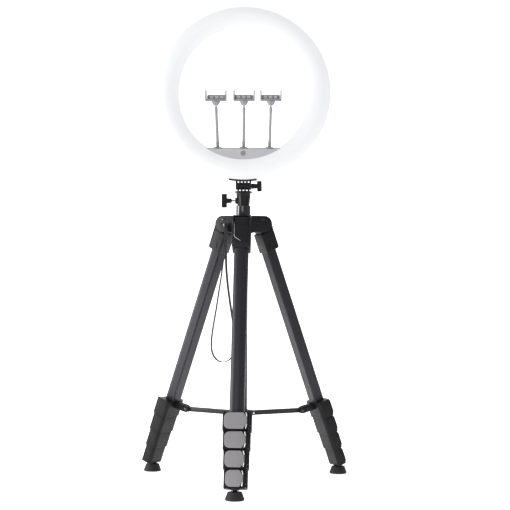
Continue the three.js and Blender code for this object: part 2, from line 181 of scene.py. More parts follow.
def fillet(points, r, n=4, closed=True):
    """Rounds the corners of a polygon. r is one radius or one per corner."""
    p = [np.array(q, float) for q in points]
    k = len(p)
    rs = r if isinstance(r, (list, tuple)) else [r] * k
    out = []
    for i in range(k):
        if not closed and i in (0, k - 1):
            out.append(p[i])
            continue
        a, b, c = p[i - 1], p[i], p[(i + 1) % k]
        u, w = a - b, c - b
        lu, lw = np.linalg.norm(u), np.linalg.norm(w)
        u, w = u / lu, w / lw
        cosang = float(np.clip(np.dot(u, w), -1, 1))
        ang = math.acos(cosang)
        if rs[i] <= 1e-6 or ang > math.pi - 0.02:
            out.append(b)
            continue
        t = min(rs[i] / math.tan(ang / 2), lu * 0.49, lw * 0.49)
        rr = t * math.tan(ang / 2)
        s, e = b + u * t, b + w * t
        centre = b + (u + w) / np.linalg.norm(u + w) * (rr / math.sin(ang / 2))
        a0 = math.atan2(*(s - centre)[::-1])
        a1 = math.atan2(*(e - centre)[::-1])
        d = (a1 - a0 + math.pi) % (2 * math.pi) - math.pi
        steps = max(1, int(round(n * abs(d) / (math.pi / 2))))
        for j in range(steps + 1):
            q = a0 + d * j / steps
            out.append(centre + rr * np.array([math.cos(q), math.sin(q)]))
    return [tuple(q) for q in out]


def arc(cu, cv, r, a0, a1, n):
    return [(cu + r * math.cos(rad(a0 + (a1 - a0) * i / n)), cv + r * math.sin(rad(a0 + (a1 - a0) * i / n))) for i in range(n + 1)]


def ccw(outline):
    a = np.array(outline)
    area = np.sum(a[:, 0] * np.roll(a[:, 1], -1) - np.roll(a[:, 0], -1) * a[:, 1])
    return list(outline) if area > 0 else list(outline)[::-1]


def dedupe(outline, eps=1e-4):
    out = []
    for p in outline:
        if not out or math.dist(p, out[-1]) > eps:
            out.append(p)
    if math.dist(out[0], out[-1]) < eps:
        out.pop()
    return out


def inset(outline, d):
    a = np.array(outline, float)
    e0 = a - np.roll(a, 1, 0)
    e1 = np.roll(a, -1, 0) - a
    n0 = np.stack([e0[:, 1], -e0[:, 0]], 1) / np.linalg.norm(e0, axis=1)[:, None]
    n1 = np.stack([e1[:, 1], -e1[:, 0]], 1) / np.linalg.norm(e1, axis=1)[:, None]
    s = n0 + n1
    k = 1 + np.sum(n0 * n1, 1)
    k = np.maximum(k, 0.3)
    return a - d * s / k[:, None]


AX = {
    "x": lambda u, v, w: (w, u, v),
    "y": lambda u, v, w: (u, w, v),
    "z": lambda u, v, w: (u, v, w),
}


def perimeter(ring):
    d = np.linalg.norm(np.roll(ring, -1, 0) - ring, axis=1)
    return np.concatenate([[0], np.cumsum(d)])


def loft(rings, capped=True, closed=False):
    """Quads between rings of equal count, caps at the ends or a closed torus."""
    n = len(rings[0])
    rings = [np.array(r, float) for r in rings]
    v = np.concatenate(rings)
    faces, uv = [], []
    peri = perimeter(rings[len(rings) // 2])
    count = len(rings)
    along = [0.0]
    for i in range(1, count + (1 if closed else 0)):
        along.append(along[-1] + float(np.mean(np.linalg.norm(rings[i % count] - rings[i - 1], axis=1))))
    for i in range(count if closed else count - 1):
        j = (i + 1) % count
        for k in range(n):
            q = (k + 1) % n
            faces.append([i * n + k, i * n + q, j * n + q, j * n + k])
            uv.append([(peri[k] * MM, along[i] * MM), (peri[k + 1] * MM, along[i] * MM), (peri[k + 1] * MM, along[i + 1] * MM), (peri[k] * MM, along[i + 1] * MM)])
    if capped and not closed:
        for ring_i, rev in ((0, True), (count - 1, False)):
            idx = [ring_i * n + k for k in range(n)]
            if rev:
                idx = idx[::-1]
            faces.append(idx)
            uv.append([(v[i][0] * MM, v[i][1] * MM) for i in idx])
    return v, faces, uv


def prism(outline, axis, lo_, hi_, r=0.6, n=3, r_hi=None):
    """Closed prism with rounded rims: outline in the other two axes."""
    o = dedupe(ccw(outline))
    r_hi = r if r_hi is None else r_hi
    rings = []
    f = AX[axis]
    for k in range(n + 1 if r > 0 else 1):
        t = math.pi / 2 * k / n if r > 0 else math.pi / 2
        ring = inset(o, r * (1 - math.sin(t)))
        w = lo_ + r * (1 - math.cos(t)) if r > 0 else lo_
        rings.append([f(p[0], p[1], w) for p in ring])
    for k in range(n + 1 if r_hi > 0 else 1):
        t = math.pi / 2 * (1 - k / n) if r_hi > 0 else math.pi / 2
        ring = inset(o, r_hi * (1 - math.sin(t)))
        w = hi_ - r_hi * (1 - math.cos(t)) if r_hi > 0 else hi_
        rings.append([f(p[0], p[1], w) for p in ring])
    return loft(rings)


def polar(outline, centre, angles):
    """Samples a star-shaped outline at the given angles about centre."""
    a = np.array(outline, float) - np.array(centre)
    b = np.roll(a, -1, 0)
    out = []
    for t in angles:
        d = np.array([math.cos(t), math.sin(t)])
        best = None
        den = d[0] * (b - a)[:, 1] - d[1] * (b - a)[:, 0]
        with np.errstate(divide="ignore", invalid="ignore"):
            s = (a[:, 0] * (b - a)[:, 1] - a[:, 1] * (b - a)[:, 0]) / den
            w = (a[:, 0] * d[1] - a[:, 1] * d[0]) / den
        ok = (np.abs(den) > 1e-12) & (s > 0) & (w > -1e-9) & (w < 1 + 1e-9)
        best = s[ok].min() if ok.any() else 0
        out.append(tuple(d * best + np.array(centre)))
    return out


def hollow(outer, inner, axis, lo_, hi_, r=0.6, n=3, centre=(0, 0), r_in=0.3):
    """Tube wall or block with a through hole, rims rounded. Outlines star-shaped about centre."""
    angs = sorted({round(math.atan2(p[1] - centre[1], p[0] - centre[0]), 5) for p in list(outer) + list(inner)})
    o = ccw(polar(outer, centre, angs))
    i_ = ccw(polar(inner, centre, angs))
    f = AX[axis]
    rings = [[f(p[0], p[1], lo_ + r_in) for p in i_], [f(p[0], p[1], lo_) for p in inset(i_, -r_in)]]
    for k in range(n + 1):
        t = math.pi / 2 * k / n
        rings.append([f(p[0], p[1], lo_ + r * (1 - math.cos(t))) for p in inset(o, r * (1 - math.sin(t)))])
    for k in range(n + 1):
        t = math.pi / 2 * (1 - k / n)
        rings.append([f(p[0], p[1], hi_ - r * (1 - math.cos(t))) for p in inset(o, r * (1 - math.sin(t)))])
    rings += [[f(p[0], p[1], hi_) for p in inset(i_, -r_in)], [f(p[0], p[1], hi_ - r_in) for p in i_]]
    return loft(rings, closed=True)


def lathe(profile, seg=64, axis="z", closed=False, wave=None):
    """Revolves (radius, height). Open profiles start and end on the axis. wave(h, angle) scales the radius."""
    rings = []
    pts = list(profile)
    ends = []
    if not closed:
        ends = [pts[0], pts[-1]]
        pts = pts[1:-1]
    v = []
    for r, h in pts:
        for k in range(seg):
            a = 2 * math.pi * k / seg
            rr = r * (wave(h, a) if wave else 1.0)
            x, y = rr * math.cos(a), rr * math.sin(a)
            v.append((x, y, h) if axis == "z" else ((x, h, y) if axis == "y" else (h, x, y)))
    faces, uv = [], []
    n = len(pts)
    along = [0.0]
    for i in range(1, n + 1):
        along.append(along[-1] + math.dist(pts[i % n], pts[i - 1]))
    for i in range(n if closed else n - 1):
        j = (i + 1) % n
        for k in range(seg):
            q = (k + 1) % seg
            faces.append([i * seg + k, i * seg + q, j * seg + q, j * seg + k])
            u0, u1 = 2 * math.pi * pts[i][0] * k / seg * MM, 2 * math.pi * pts[i][0] * (k + 1) / seg * MM
            uv.append([(u0, along[i] * MM), (u1, along[i] * MM), (u1, along[i + 1] * MM), (u0, along[i + 1] * MM)])
    if not closed:
        for (r, h), base, rev in ((ends[0], 0, True), (ends[1], (n - 1) * seg, False)):
            c = len(v)
            v.append((0, 0, h) if axis == "z" else ((0, h, 0) if axis == "y" else (h, 0, 0)))
            for k in range(seg):
                q = (k + 1) % seg
                t = [c, base + q, base + k] if rev else [c, base + k, base + q]
                faces.append(t)
                uv.append([(v[i][0] * MM, v[i][1] * MM) for i in t])
    return v, faces, uv


def rod(axis, a, b, r, c=(0, 0), seg=32, ch=0.4, r2=None):
    """Turned pin along an axis with small chamfers."""
    r2 = r if r2 is None else r2
    v, f, uv = lathe(fillet([(0, a), (r, a), (r2, b), (0, b)], [0, ch, ch, 0], 3, closed=False), seg, axis)
    off = {"x": (0, c[0], c[1]), "y": (c[0], 0, c[1]), "z": (c[0], c[1], 0)}[axis]
    return [tuple(np.array(p) + off) for p in v], f, uv


def block(x0, x1, y0, y1, z0, z1, r=0.5, rc=1.0, axis="z"):
    if axis == "z":
        o = fillet([(x0, y0), (x1, y0), (x1, y1), (x0, y1)], rc, 4)
        return prism(o, "z", z0, z1, r)
    if axis == "y":
        o = fillet([(x0, z0), (x1, z0), (x1, z1), (x0, z1)], rc, 4)
        return prism(o, "y", y0, y1, r)
    o = fillet([(y0, z0), (y1, z0), (y1, z1), (y0, z1)], rc, 4)
    return prism(o, "x", x0, x1, r)


def pillow(outline, axis, base, top, edge, crown, n=6, rings_in=7):
    """Cap with a rounded rim and a crowned face that points to `top` along axis."""
    o = dedupe(ccw(outline))
    f = AX[axis]
    s = 1 if top > base else -1
    rings = [[f(p[0], p[1], base) for p in inset(o, 0.3)], [f(p[0], p[1], base + s * 0.3) for p in o]]
    h = abs(top - base) - crown
    for k in range(n + 1):
        t = math.pi / 2 * k / n
        rings.append([f(p[0], p[1], base + s * (h - edge + edge * math.sin(t))) for p in inset(o, edge * (1 - math.cos(t)))])
    rim = inset(o, edge)
    c = np.mean(rim, 0)
    for k in range(1, rings_in):
        q = 1 - k / rings_in
        rings.append([f(*(c + (np.array(p) - c) * q), base + s * (h + crown * (1 - q * q))) for p in rim])
    return loft(rings)


def dshape(w, d, n=18):
    """D-shaped leg tube outline: flat towards the axis (+y), rounded outward (-y)."""
    h = d / 2
    low = [(w / 2 * math.cos(math.pi + math.pi * i / n), -h * 0.2 + h * 0.8 * math.sin(math.pi + math.pi * i / n)) for i in range(n + 1)]
    top = fillet([(w / 2, -h * 0.2), (w / 2, h), (-w / 2, h), (-w / 2, -h * 0.2)], [0, 2.8, 2.8, 0], 5, closed=False)
    return dedupe(low + top[1:-1])


# ---------------------------------------------------------------- materials
def lin(c):
    c = c / 255.0
    return c / 12.92 if c <= 0.04045 else ((c + 0.055) / 1.055) ** 2.4


def material(
    name, base, rough, metallic=0.0, grain=1400.0, bump=0.15, depth=0.00005, var=0.12, rvar=0.06, edge=0.0, edge_col=None, coat=0.0, coat_rough=0.2,
    spec=0.5, streak=None, sss=0.0, dust=0.0, sheen=0.0, scale=18.0, emit=0.0, ior=1.46, dots=0.0,
):
    """Procedural finish: fine grain bump, broad colour and roughness variation, worn edges, drawn streaks."""
    m = bpy.data.materials.new(name)
    m.use_nodes = True
    nt = m.node_tree
    n, L = nt.nodes, nt.links
    b = n["Principled BSDF"]
    b.inputs["Metallic"].default_value = metallic
    b.inputs["Specular IOR Level"].default_value = spec
    b.inputs["IOR"].default_value = ior
    b.inputs["Coat Weight"].default_value = coat
    b.inputs["Coat Roughness"].default_value = coat_rough
    if sheen:
        b.inputs["Sheen Weight"].default_value = sheen
        b.inputs["Sheen Roughness"].default_value = 0.4
    if sss:
        b.inputs["Subsurface Weight"].default_value = sss
        b.inputs["Subsurface Radius"].default_value = (1.0, 1.0, 1.0)
        b.inputs["Subsurface Scale"].default_value = 0.003
    tc = n.new("ShaderNodeTexCoord")
    wide = n.new("ShaderNodeTexNoise")
    wide.inputs["Scale"].default_value = scale
    wide.inputs["Detail"].default_value = 6
    wide.inputs["Roughness"].default_value = 0.6
    L.new(tc.outputs["Object"], wide.inputs["Vector"])

    def mapr(src, lo_, hi_, a, c):
        r = n.new("ShaderNodeMapRange")
        r.inputs["From Min"].default_value = a
        r.inputs["From Max"].default_value = c
        r.inputs["To Min"].default_value = lo_
        r.inputs["To Max"].default_value = hi_
        L.new(src, r.inputs["Value"])
        return r.outputs["Result"]

    def mix(fac, a, c):
        x = n.new("ShaderNodeMix")
        x.data_type = "RGBA"
        if isinstance(fac, float):
            x.inputs[0].default_value = fac
        else:
            L.new(fac, x.inputs[0])
        for sock, val in ((x.inputs[6], a), (x.inputs[7], c)):
            if isinstance(val, tuple):
                sock.default_value = (*val, 1)
            else:
                L.new(val, sock)
        return x.outputs[2]

    dark = tuple(c * (1 - var) for c in base)
    light = tuple(min(1, c * (1 + var)) for c in base)
    col = mix(mapr(wide.outputs["Fac"], 0.0, 1.0, 0.3, 0.7), dark, light)
    fine = n.new("ShaderNodeTexNoise")
    fine.inputs["Detail"].default_value = 3
    if streak:
        mp = n.new("ShaderNodeMapping")
        mp.inputs["Scale"].default_value = streak
        L.new(tc.outputs["UV"], mp.inputs["Vector"])
        L.new(mp.outputs["Vector"], fine.inputs["Vector"])
        fine.inputs["Scale"].default_value = 1.0
        fine.inputs["Detail"].default_value = 4
        col = mix(mapr(fine.outputs["Fac"], 0.0, 1.0, 0.35, 0.65), col, tuple(min(1, c * (1 + 1.6 * var)) for c in base))
    else:
        L.new(tc.outputs["Object"], fine.inputs["Vector"])
        fine.inputs["Scale"].default_value = grain
    if edge > 0:
        geo = n.new("ShaderNodeNewGeometry")
        e = mapr(geo.outputs["Pointiness"], 0.0, edge, 0.52, 0.62)
        wear = n.new("ShaderNodeMath")
        wear.operation = "MULTIPLY"
        L.new(e, wear.inputs[0])
        L.new(mapr(wide.outputs["Fac"], 0.2, 1.0, 0.35, 0.65), wear.inputs[1])
        col = mix(wear.outputs[0], col, edge_col or tuple(min(1, c * 3 + 0.03) for c in base))
    if dust > 0:
        geo2 = n.new("ShaderNodeNewGeometry")
        sep = n.new("ShaderNodeSeparateXYZ")
        L.new(geo2.outputs["Normal"], sep.inputs[0])
        up = n.new("ShaderNodeMath")
        up.operation = "MULTIPLY"
        L.new(mapr(sep.outputs["Z"], 0.0, dust, 0.4, 1.0), up.inputs[0])
        L.new(mapr(wide.outputs["Fac"], 0.3, 1.0, 0.3, 0.7), up.inputs[1])
        col = mix(up.outputs[0], col, (0.35, 0.34, 0.33))
    L.new(col, b.inputs["Base Color"])
    L.new(mapr(wide.outputs["Fac"], max(0.02, rough - rvar), min(1, rough + rvar), 0.3, 0.7), b.inputs["Roughness"])
    bp = n.new("ShaderNodeBump")
    bp.inputs["Strength"].default_value = bump
    bp.inputs["Distance"].default_value = depth
    height = fine.outputs["Fac"]
    if dots:
        vor = n.new("ShaderNodeTexVoronoi")
        vor.inputs["Scale"].default_value = dots
        L.new(tc.outputs["Object"], vor.inputs["Vector"])
        add = n.new("ShaderNodeMath")
        add.operation = "ADD"
        L.new(height, add.inputs[0])
        L.new(vor.outputs["Distance"], add.inputs[1])
        height = add.outputs[0]
    L.new(height, bp.inputs["Height"])
    L.new(bp.outputs["Normal"], b.inputs["Normal"])
    # emit adds a glow in the base colour: painted light on the ring housing and the diffuser, an evenly bright floor on
    # the sweep
    if emit:
        b.inputs["Emission Color"].default_value = (*base, 1)
        b.inputs["Emission Strength"].default_value = emit
    return m


def webbing_material(name, base, pitch_u=0.0011, pitch_v=0.0009):
    """Woven tape from the mesh's own UVs, in metres: u across, v along."""
    m = bpy.data.materials.new(name)
    m.use_nodes = True
    n, L = m.node_tree.nodes, m.node_tree.links
    b = n["Principled BSDF"]
    b.inputs["Roughness"].default_value = 0.85
    b.inputs["Sheen Weight"].default_value = 0.25
    b.inputs["Sheen Roughness"].default_value = 0.5
    tc = n.new("ShaderNodeTexCoord")
    sep = n.new("ShaderNodeSeparateXYZ")
    L.new(tc.outputs["UV"], sep.inputs[0])

    def math_(op, a, c=None):
        x = n.new("ShaderNodeMath")
        x.operation = op
        for i, val in enumerate((a, c)):
            if val is None:
                continue
            if isinstance(val, (int, float)):
                x.inputs[i].default_value = val
            else:
                L.new(val, x.inputs[i])
        return x.outputs[0]

    u = math_("MULTIPLY", sep.outputs["X"], 2 * math.pi / pitch_u)
    v = math_("MULTIPLY", sep.outputs["Y"], 2 * math.pi / pitch_v)
    w = math_("MULTIPLY", math_("SINE", u), math_("SINE", v))
    tight = math_("ADD", math_("MULTIPLY", w, 0.5), 0.5)
    mixn = n.new("ShaderNodeMix")
    mixn.data_type = "RGBA"
    L.new(tight, mixn.inputs[0])
    mixn.inputs[6].default_value = (*[c * 0.55 for c in base], 1)
    mixn.inputs[7].default_value = (*[c * 1.5 for c in base], 1)
    L.new(mixn.outputs[2], b.inputs["Base Color"])
    bp = n.new("ShaderNodeBump")
    bp.inputs["Strength"].default_value = 0.6
    bp.inputs["Distance"].default_value = 0.0002
    L.new(tight, bp.inputs["Height"])
    L.new(bp.outputs["Normal"], b.inputs["Normal"])
    return m


NYLON = material("black_nylon", (0.0065, 0.0065, 0.0075), 0.46, grain=2600, bump=0.22, depth=0.00004, edge=0.2, edge_col=(0.04, 0.04, 0.043), dust=0.0, spec=0.24)
NYLON_SOFT = material("black_nylon_satin", (0.008, 0.008, 0.0095), 0.4, grain=2200, bump=0.12, depth=0.00003, edge=0.25, edge_col=(0.05, 0.05, 0.054), spec=0.3)
GLOSS = material("gloss_black_sleeve", (0.012, 0.012, 0.014), 0.12, metallic=0.35, grain=500, bump=0.04, depth=0.00002, coat=0.8, coat_rough=0.06, rvar=0.03)
ANODISED = material("anodised_tube", (0.03, 0.03, 0.034), 0.42, metallic=0.5, spec=0.35, bump=0.1, depth=0.00002, streak=(5200.0, 14.0, 1.0), var=0.16, rvar=0.05)
ANODISED_IN = material("anodised_inner_tube", (0.035, 0.035, 0.04), 0.36, metallic=0.5, spec=0.35, bump=0.08, depth=0.00002, streak=(5200.0, 14.0, 1.0), var=0.16, rvar=0.05)
POWDER = material("powder_coated_steel", (0.012, 0.012, 0.013), 0.38, grain=3800, bump=0.35, depth=0.00004, edge=0.4, edge_col=(0.09, 0.09, 0.09))
STEEL = material("bright_steel", (0.62, 0.62, 0.63), 0.24, metallic=1.0, grain=1200, bump=0.08, depth=0.00002, var=0.06)
DARK_STEEL = material("dark_steel", (0.16, 0.16, 0.17), 0.3, metallic=1.0, grain=1200, bump=0.08, depth=0.00002, var=0.1)
RUBBER = material("foot_rubber", (0.013, 0.013, 0.0135), 0.72, grain=2400, bump=0.35, depth=0.00006, dust=0.12, var=0.2)
LEVER = material("lever_grey_nylon", (0.27, 0.262, 0.268), 0.42, grain=2400, bump=0.2, depth=0.00004, edge=0.3, edge_col=(0.4, 0.4, 0.4), var=0.07)
LEVER_BLACK = material("lever_black_nylon", (0.005, 0.005, 0.006), 0.46, grain=2400, bump=0.2, depth=0.00004, spec=0.2)
# emit=0.1 paints a faint glow into the white housing, which is no lamp: painted light
WHITE_PAINTED_GLOW = material("white_housing_painted_glow", (0.86, 0.868, 0.88), 0.3, grain=1600, bump=0.1, depth=0.00003, var=0.015, rvar=0.04, coat=0.15, emit=0.1)
# emit=2.62 paints the diffuser a flat near-white glow: painted light, tuned for tone rather than as a working lamp
OPAL_PAINTED_GLOW = material("opal_diffuser_painted_glow", (0.25, 0.2515, 0.2545), 0.42, grain=900, bump=0.05, depth=0.00002, var=0.01, rvar=0.03, sss=0.2, emit=2.62)
BOARD = material("led_board_mask", (0.8, 0.8, 0.76), 0.45, grain=1200, bump=0.1, var=0.04)
GREY = material("panel_grey_abs", (lin(184), lin(184), lin(188)), 0.42, grain=2600, bump=0.2, depth=0.00004, var=0.03, edge=0.25, edge_col=(0.7, 0.7, 0.72))
GREY_DARK = material("clip_grey", (lin(150), lin(150), lin(153)), 0.45, grain=2600, bump=0.2, depth=0.00004, var=0.05)
GREY_NECK = material("gooseneck_grey", (lin(168), lin(168), lin(171)), 0.36, metallic=0.25, grain=2600, bump=0.12, depth=0.00003, var=0.05)
PAD = material("clip_pad_rubber", (lin(222), lin(222), lin(224)), 0.65, grain=2200, bump=0.3, depth=0.00005, var=0.03)
BUTTON = material("button_grey", (lin(140), lin(140), lin(144)), 0.35, grain=2600, bump=0.1, depth=0.00003, var=0.04)
STEEL_SOFT = material("satin_steel_trim", (0.5, 0.5, 0.51), 0.34, metallic=1.0, grain=1200, bump=0.08, depth=0.00002, var=0.06)
WEB = webbing_material("strap_webbing", (0.016, 0.016, 0.018))


def finished(node, m):
    """The CAD node stays, with this finish."""
    o = frame["nodes"][node]
    o.data.materials.clear()
    o.data.materials.append(m)
    return o


def carve(obj, cutter_shell):
    """Cuts real recesses into a piece and keeps the result as its mesh."""
    v = (np.array(cutter_shell.v) + SHIFT) * MM
    me = bpy.data.meshes.new("cutter")
    me.from_pydata(v.tolist(), [], cutter_shell.f)
    me.update()
    c = bpy.data.objects.new("cutter", me)
    bpy.context.scene.collection.objects.link(c)
    mod = obj.modifiers.new("cut", "BOOLEAN")
    mod.operation = "DIFFERENCE"
    mod.solver = "EXACT"
    mod.object = c
    dg = bpy.context.evaluated_depsgraph_get()
    out = bpy.data.meshes.new_from_object(obj.evaluated_get(dg))
    obj.modifiers.clear()
    old = obj.data
    name = old.name
    obj.data = out
    bpy.data.meshes.remove(old)
    out.name = name
    bpy.data.objects.remove(c)
    bpy.data.meshes.remove(me)
    out.polygons.foreach_set("use_smooth", [True] * len(out.polygons))
    out.set_sharp_from_angle(angle=rad(40))
    return obj


def turned(sh, prof, seg, axis, M, mat=0, closed=False, wave=None):
    v, f, uv = lathe(prof, seg, axis, closed, wave)
    return sh.add(v, f, mat, M, uv)


def put(sh, prim, M=None, mat=0):
    v, f, uv = prim
    return sh.add(v, f, mat, M, uv)


def circle(cu, cv, r, n=40):
    return [(cu + r * math.cos(2 * math.pi * i / n), cv + r * math.sin(2 * math.pi * i / n)) for i in range(n)]


# ---------------------------------------------------------------- camera
LENS = 94.11
CAM_D, CAM_AZ, CAM_H = 2759.1, rad(3.308), 447.5
YA, TILT, ROLL = rad(3.308 - 0.512), rad(0.386), rad(0.32)
cam_data = bpy.data.cameras.new("camera")
cam_data.lens = LENS
cam_data.sensor_width = 36
cam_data.clip_start, cam_data.clip_end = 0.05, 60
cam = bpy.data.objects.new("camera", cam_data)
bpy.context.scene.collection.objects.link(cam)
fw = Vector((-math.sin(YA) * math.cos(TILT), math.cos(YA) * math.cos(TILT), math.sin(TILT)))
right = Vector((math.cos(YA), math.sin(YA), 0))
up = right.cross(fw)
r2 = right * math.cos(ROLL) + up * math.sin(ROLL)
u2 = -right * math.sin(ROLL) + up * math.cos(ROLL)
m = Matrix((r2, u2, -fw)).transposed().to_4x4()
m.translation = Vector(world((CAM_D * math.sin(CAM_AZ), -CAM_D * math.cos(CAM_AZ), CAM_H)))
cam.matrix_world = m
bpy.context.scene.camera = cam

# ---------------------------------------------------------------- carry strap
STRAP = [
    (-36.9, -8.2, 523), (-37.4, -8.6, 505), (-38.0, -9.6, 487), (-39.2, -10.8, 464), (-42.9, -12.6, 430), (-48.2, -14.4, 393),
    (-54.5, -16.0, 350), (-60.6, -17.4, 312), (-63.2, -18.2, 286), (-61.6, -18.6, 267), (-55.0, -18.8, 253.5), (-45.0, -19.0, 246.5),
    (-34.0, -19.2, 246.5), (-23.5, -19.6, 252.8), (-16.6, -20.2, 266), (-14.6, -20.4, 285), (-16.0, -20.0, 306), (-19.6, -18.8, 332),
    (-25.0, -16.6, 366), (-30.2, -14.2, 402), (-33.6, -12.0, 437), (-34.6, -10.4, 470), (-34.2, -9.0, 497), (-33.6, -8.4, 523),
]


def centripetal(points, per=8):
    p = [np.array(q, float) for q in points]
    p = [2 * p[0] - p[1], *p, 2 * p[-1] - p[-2]]
    out = []
    for i in range(1, len(p) - 2):
        a, b, c, d = p[i - 1 : i + 3]
        t0 = 0.0
        t1 = t0 + np.linalg.norm(b - a) ** 0.5
        t2 = t1 + np.linalg.norm(c - b) ** 0.5
        t3 = t2 + np.linalg.norm(d - c) ** 0.5
        for k in range(per):
            t = t1 + (t2 - t1) * k / per
            a1 = (t1 - t) / (t1 - t0) * a + (t - t0) / (t1 - t0) * b
            a2 = (t2 - t) / (t2 - t1) * b + (t - t1) / (t2 - t1) * c
            a3 = (t3 - t) / (t3 - t2) * c + (t - t2) / (t3 - t2) * d
            b1 = (t2 - t) / (t2 - t0) * a1 + (t - t0) / (t2 - t0) * a2
            b2 = (t3 - t) / (t3 - t1) * a2 + (t - t1) / (t3 - t1) * a3
            out.append((t2 - t) / (t2 - t1) * b1 + (t - t1) / (t2 - t1) * b2)
    out.append(p[-2])
    return out


def ribbon(path, width, thick, across=(0, 1, 0), bulge=0.25):
    """Flat woven tape along a path, its broad side kept towards x; edges rounded."""
    sec = fillet([(-width / 2, -thick / 2), (width / 2, -thick / 2), (width / 2, thick / 2), (-width / 2, thick / 2)], thick * 0.45, 4)
    sec = [(u, v) for u, v in sec]
    rings = []
    for i, q in enumerate(path):
        t = path[min(i + 1, len(path) - 1)] - path[max(i - 1, 0)]
        t = t / np.linalg.norm(t)
        w = np.array(across(i / (len(path) - 1)) if callable(across) else across, float)
        w = w - t * np.dot(w, t)
        w /= np.linalg.norm(w)
        nrm = np.cross(t, w)
        rings.append([q + w * u + nrm * v for u, v in sec])
    return loft(rings)


strap_path = centripetal(STRAP)
sh = Shell()
put(sh, ribbon(strap_path, 9.0, 1.6, lambda k: (0.1 + 0.34 * k, 1.0, 0)))
strap = build("strap_webbing", sh, WEB, "spider", "carry_strap", sharp=50)
LEFT_N = np.array([-0.5, -0.8660254, 0.0])
sh = Shell()
RIV = np.eye(4)
RIV[:3, 0] = LEFT_N
RIV[:3, 1] = np.cross((0, 0, 1), LEFT_N)
RIV[:3, 2] = (0, 0, 1)
RIV[:3, 3] = (-34.1, -1.9, 528)
tear = [*arc(0, 0, 4.1, -20, 200, 20), (-2.6, -6.5), (2.6, -6.5)]
put(sh, hollow(tear, circle(0, 0, 2.5), "x", 1.2, 8.8, r=0.5), RIV)
strap_eye = build("strap_eye", sh, WEB, "spider")
sh = Shell()
put(sh, lathe(fillet([(0, -0.4), (3.9, -0.4), (3.9, 0.7), (2.2, 1.0), (2.2, 9.3), (2.9, 9.5), (2.7, 10.4), (1.6, 11.0), (0, 11.2)], [0, 0.2, 0.4, 0, 0, 0.4, 0.5, 0.8, 0], 3, closed=False), 32, "x"), RIV)
build("strap_rivet", sh, DARK_STEEL, "spider")

# ---------------------------------------------------------------- ring head
sh = Shell()
prof = [
    (134.6, -10), (134.6, 14), (140.5, 20), (147.0, 20), (147.3, 19.5), (147.9, 19.5), (148.2, 20), (165.8, 20), (166.1, 19.5), (166.7, 19.5), (167.0, 20),
    (173.5, 20), (179.4, 14), (179.4, -5.2), (179.0, -5.6), (179.0, -6.3), (179.4, -6.7), (179.4, -10),
    (177.1, -10), (177.1, 13), (172.6, 17.6), (141.4, 17.6), (136.9, 13), (136.9, -10),
]
rr = [0.5, 6, 6, 0, 0, 0, 0, 0, 0, 0, 0, 6, 6, 0.1, 0.1, 0.1, 0.1, 0.5, 0.3, 4, 4, 4, 4, 0.3]
turned(sh, fillet(prof, rr, 6), 192, "y", HEAD, closed=True)
housing = build("ring_shell", sh, WHITE_PAINTED_GLOW, "ring_head", "ring_rear_housing", sharp=28)
cut_ = Shell()
SCREWS = [(157 * math.sin(rad(a)), RING_Z + 157 * math.cos(rad(a))) for a in (15, 75, 135, 195, 255, 315)]
for x, z in SCREWS:
    put(cut_, rod("y", 18.6, 22, 3.3, (x, z), 32, 0.01))
inlet = (66.35, RING_Z - 142.29)
put(cut_, rod("y", 10, 22, 3.2, inlet, 32, 0.01))
carve(housing, cut_)
sh = Shell()
for i, (x, z) in enumerate(SCREWS):
    M = T(x, 18.62, z) @ R("Y", 0.7 * i)
    put(sh, lathe(fillet([(0, 0), (2.9, 0), (2.9, 0.5), (1.9, 0.95), (0, 1.05)], [0, 0.1, 0.2, 0.3, 0], 3, closed=False), 32, "y"), M)
    for a in (0, math.pi / 2):
        put(sh, block(-1.7, 1.7, 0.8, 1.12, -0.28, 0.28, 0.05, 0.1, "y"), M @ R("Y", a), 1)
build("ring_back_screws", sh, [DARK_STEEL, NYLON], "ring_head")
sh = Shell()
M = T(inlet[0], 0, inlet[1])
turned(sh, fillet([(2.75, 11), (2.75, 20.35), (4.9, 20.35), (5.2, 20.02), (3.15, 20.02), (3.15, 18.4), (7, 18.4), (7, 9.2), (0.1, 9.2), (0.1, 11)], [0, 0.15, 0.25, 0, 0, 0, 0.3, 0.3, 0, 0], 3), 40, "y", M, closed=True)
turned(sh, fillet([(0, 10.8), (0.95, 10.8), (0.95, 18.6), (0, 18.9)], [0, 0, 0.3, 0], 3, closed=False), 24, "y", M, 1)
build("power_inlet", sh, [NYLON, STEEL], "ring_head")

sh = Shell()
prof = [
    (134.6, -10.3), (135.0, -13.6), (138.6, -17.4), (146, -22.3), (157, -25), (168, -22.3), (176.4, -16.6), (179.4, -10.3),
    (177.2, -10.3), (174.2, -15.0), (166.5, -20.0), (157, -22.6), (147.2, -19.8), (139.6, -15.0), (136.8, -10.3),
]
turned(sh, fillet(prof, [0.3, 5, 9, 26, 60, 26, 12, 0.3, 0.3, 10, 24, 60, 24, 9, 0.3], 8), 192, "y", HEAD, closed=True)
build("ring_opal_lens", sh, OPAL_PAINTED_GLOW, "ring_head", "ring_diffuser", sharp=40)
finished("led_board", BOARD)

# crescent panel with its bezel, arm cups and button
CHORD = PANEL_TOP - RING_Z


def segment(r, chord, n):
    a = math.degrees(math.asin(chord / r))
    return arc(0, 0, r, a, -180 - a, n)


def soft_segment(r, chord, n, corner):
    pts = segment(r, chord, n)
    return fillet(pts, [corner, *[0] * (len(pts) - 2), corner], 6)


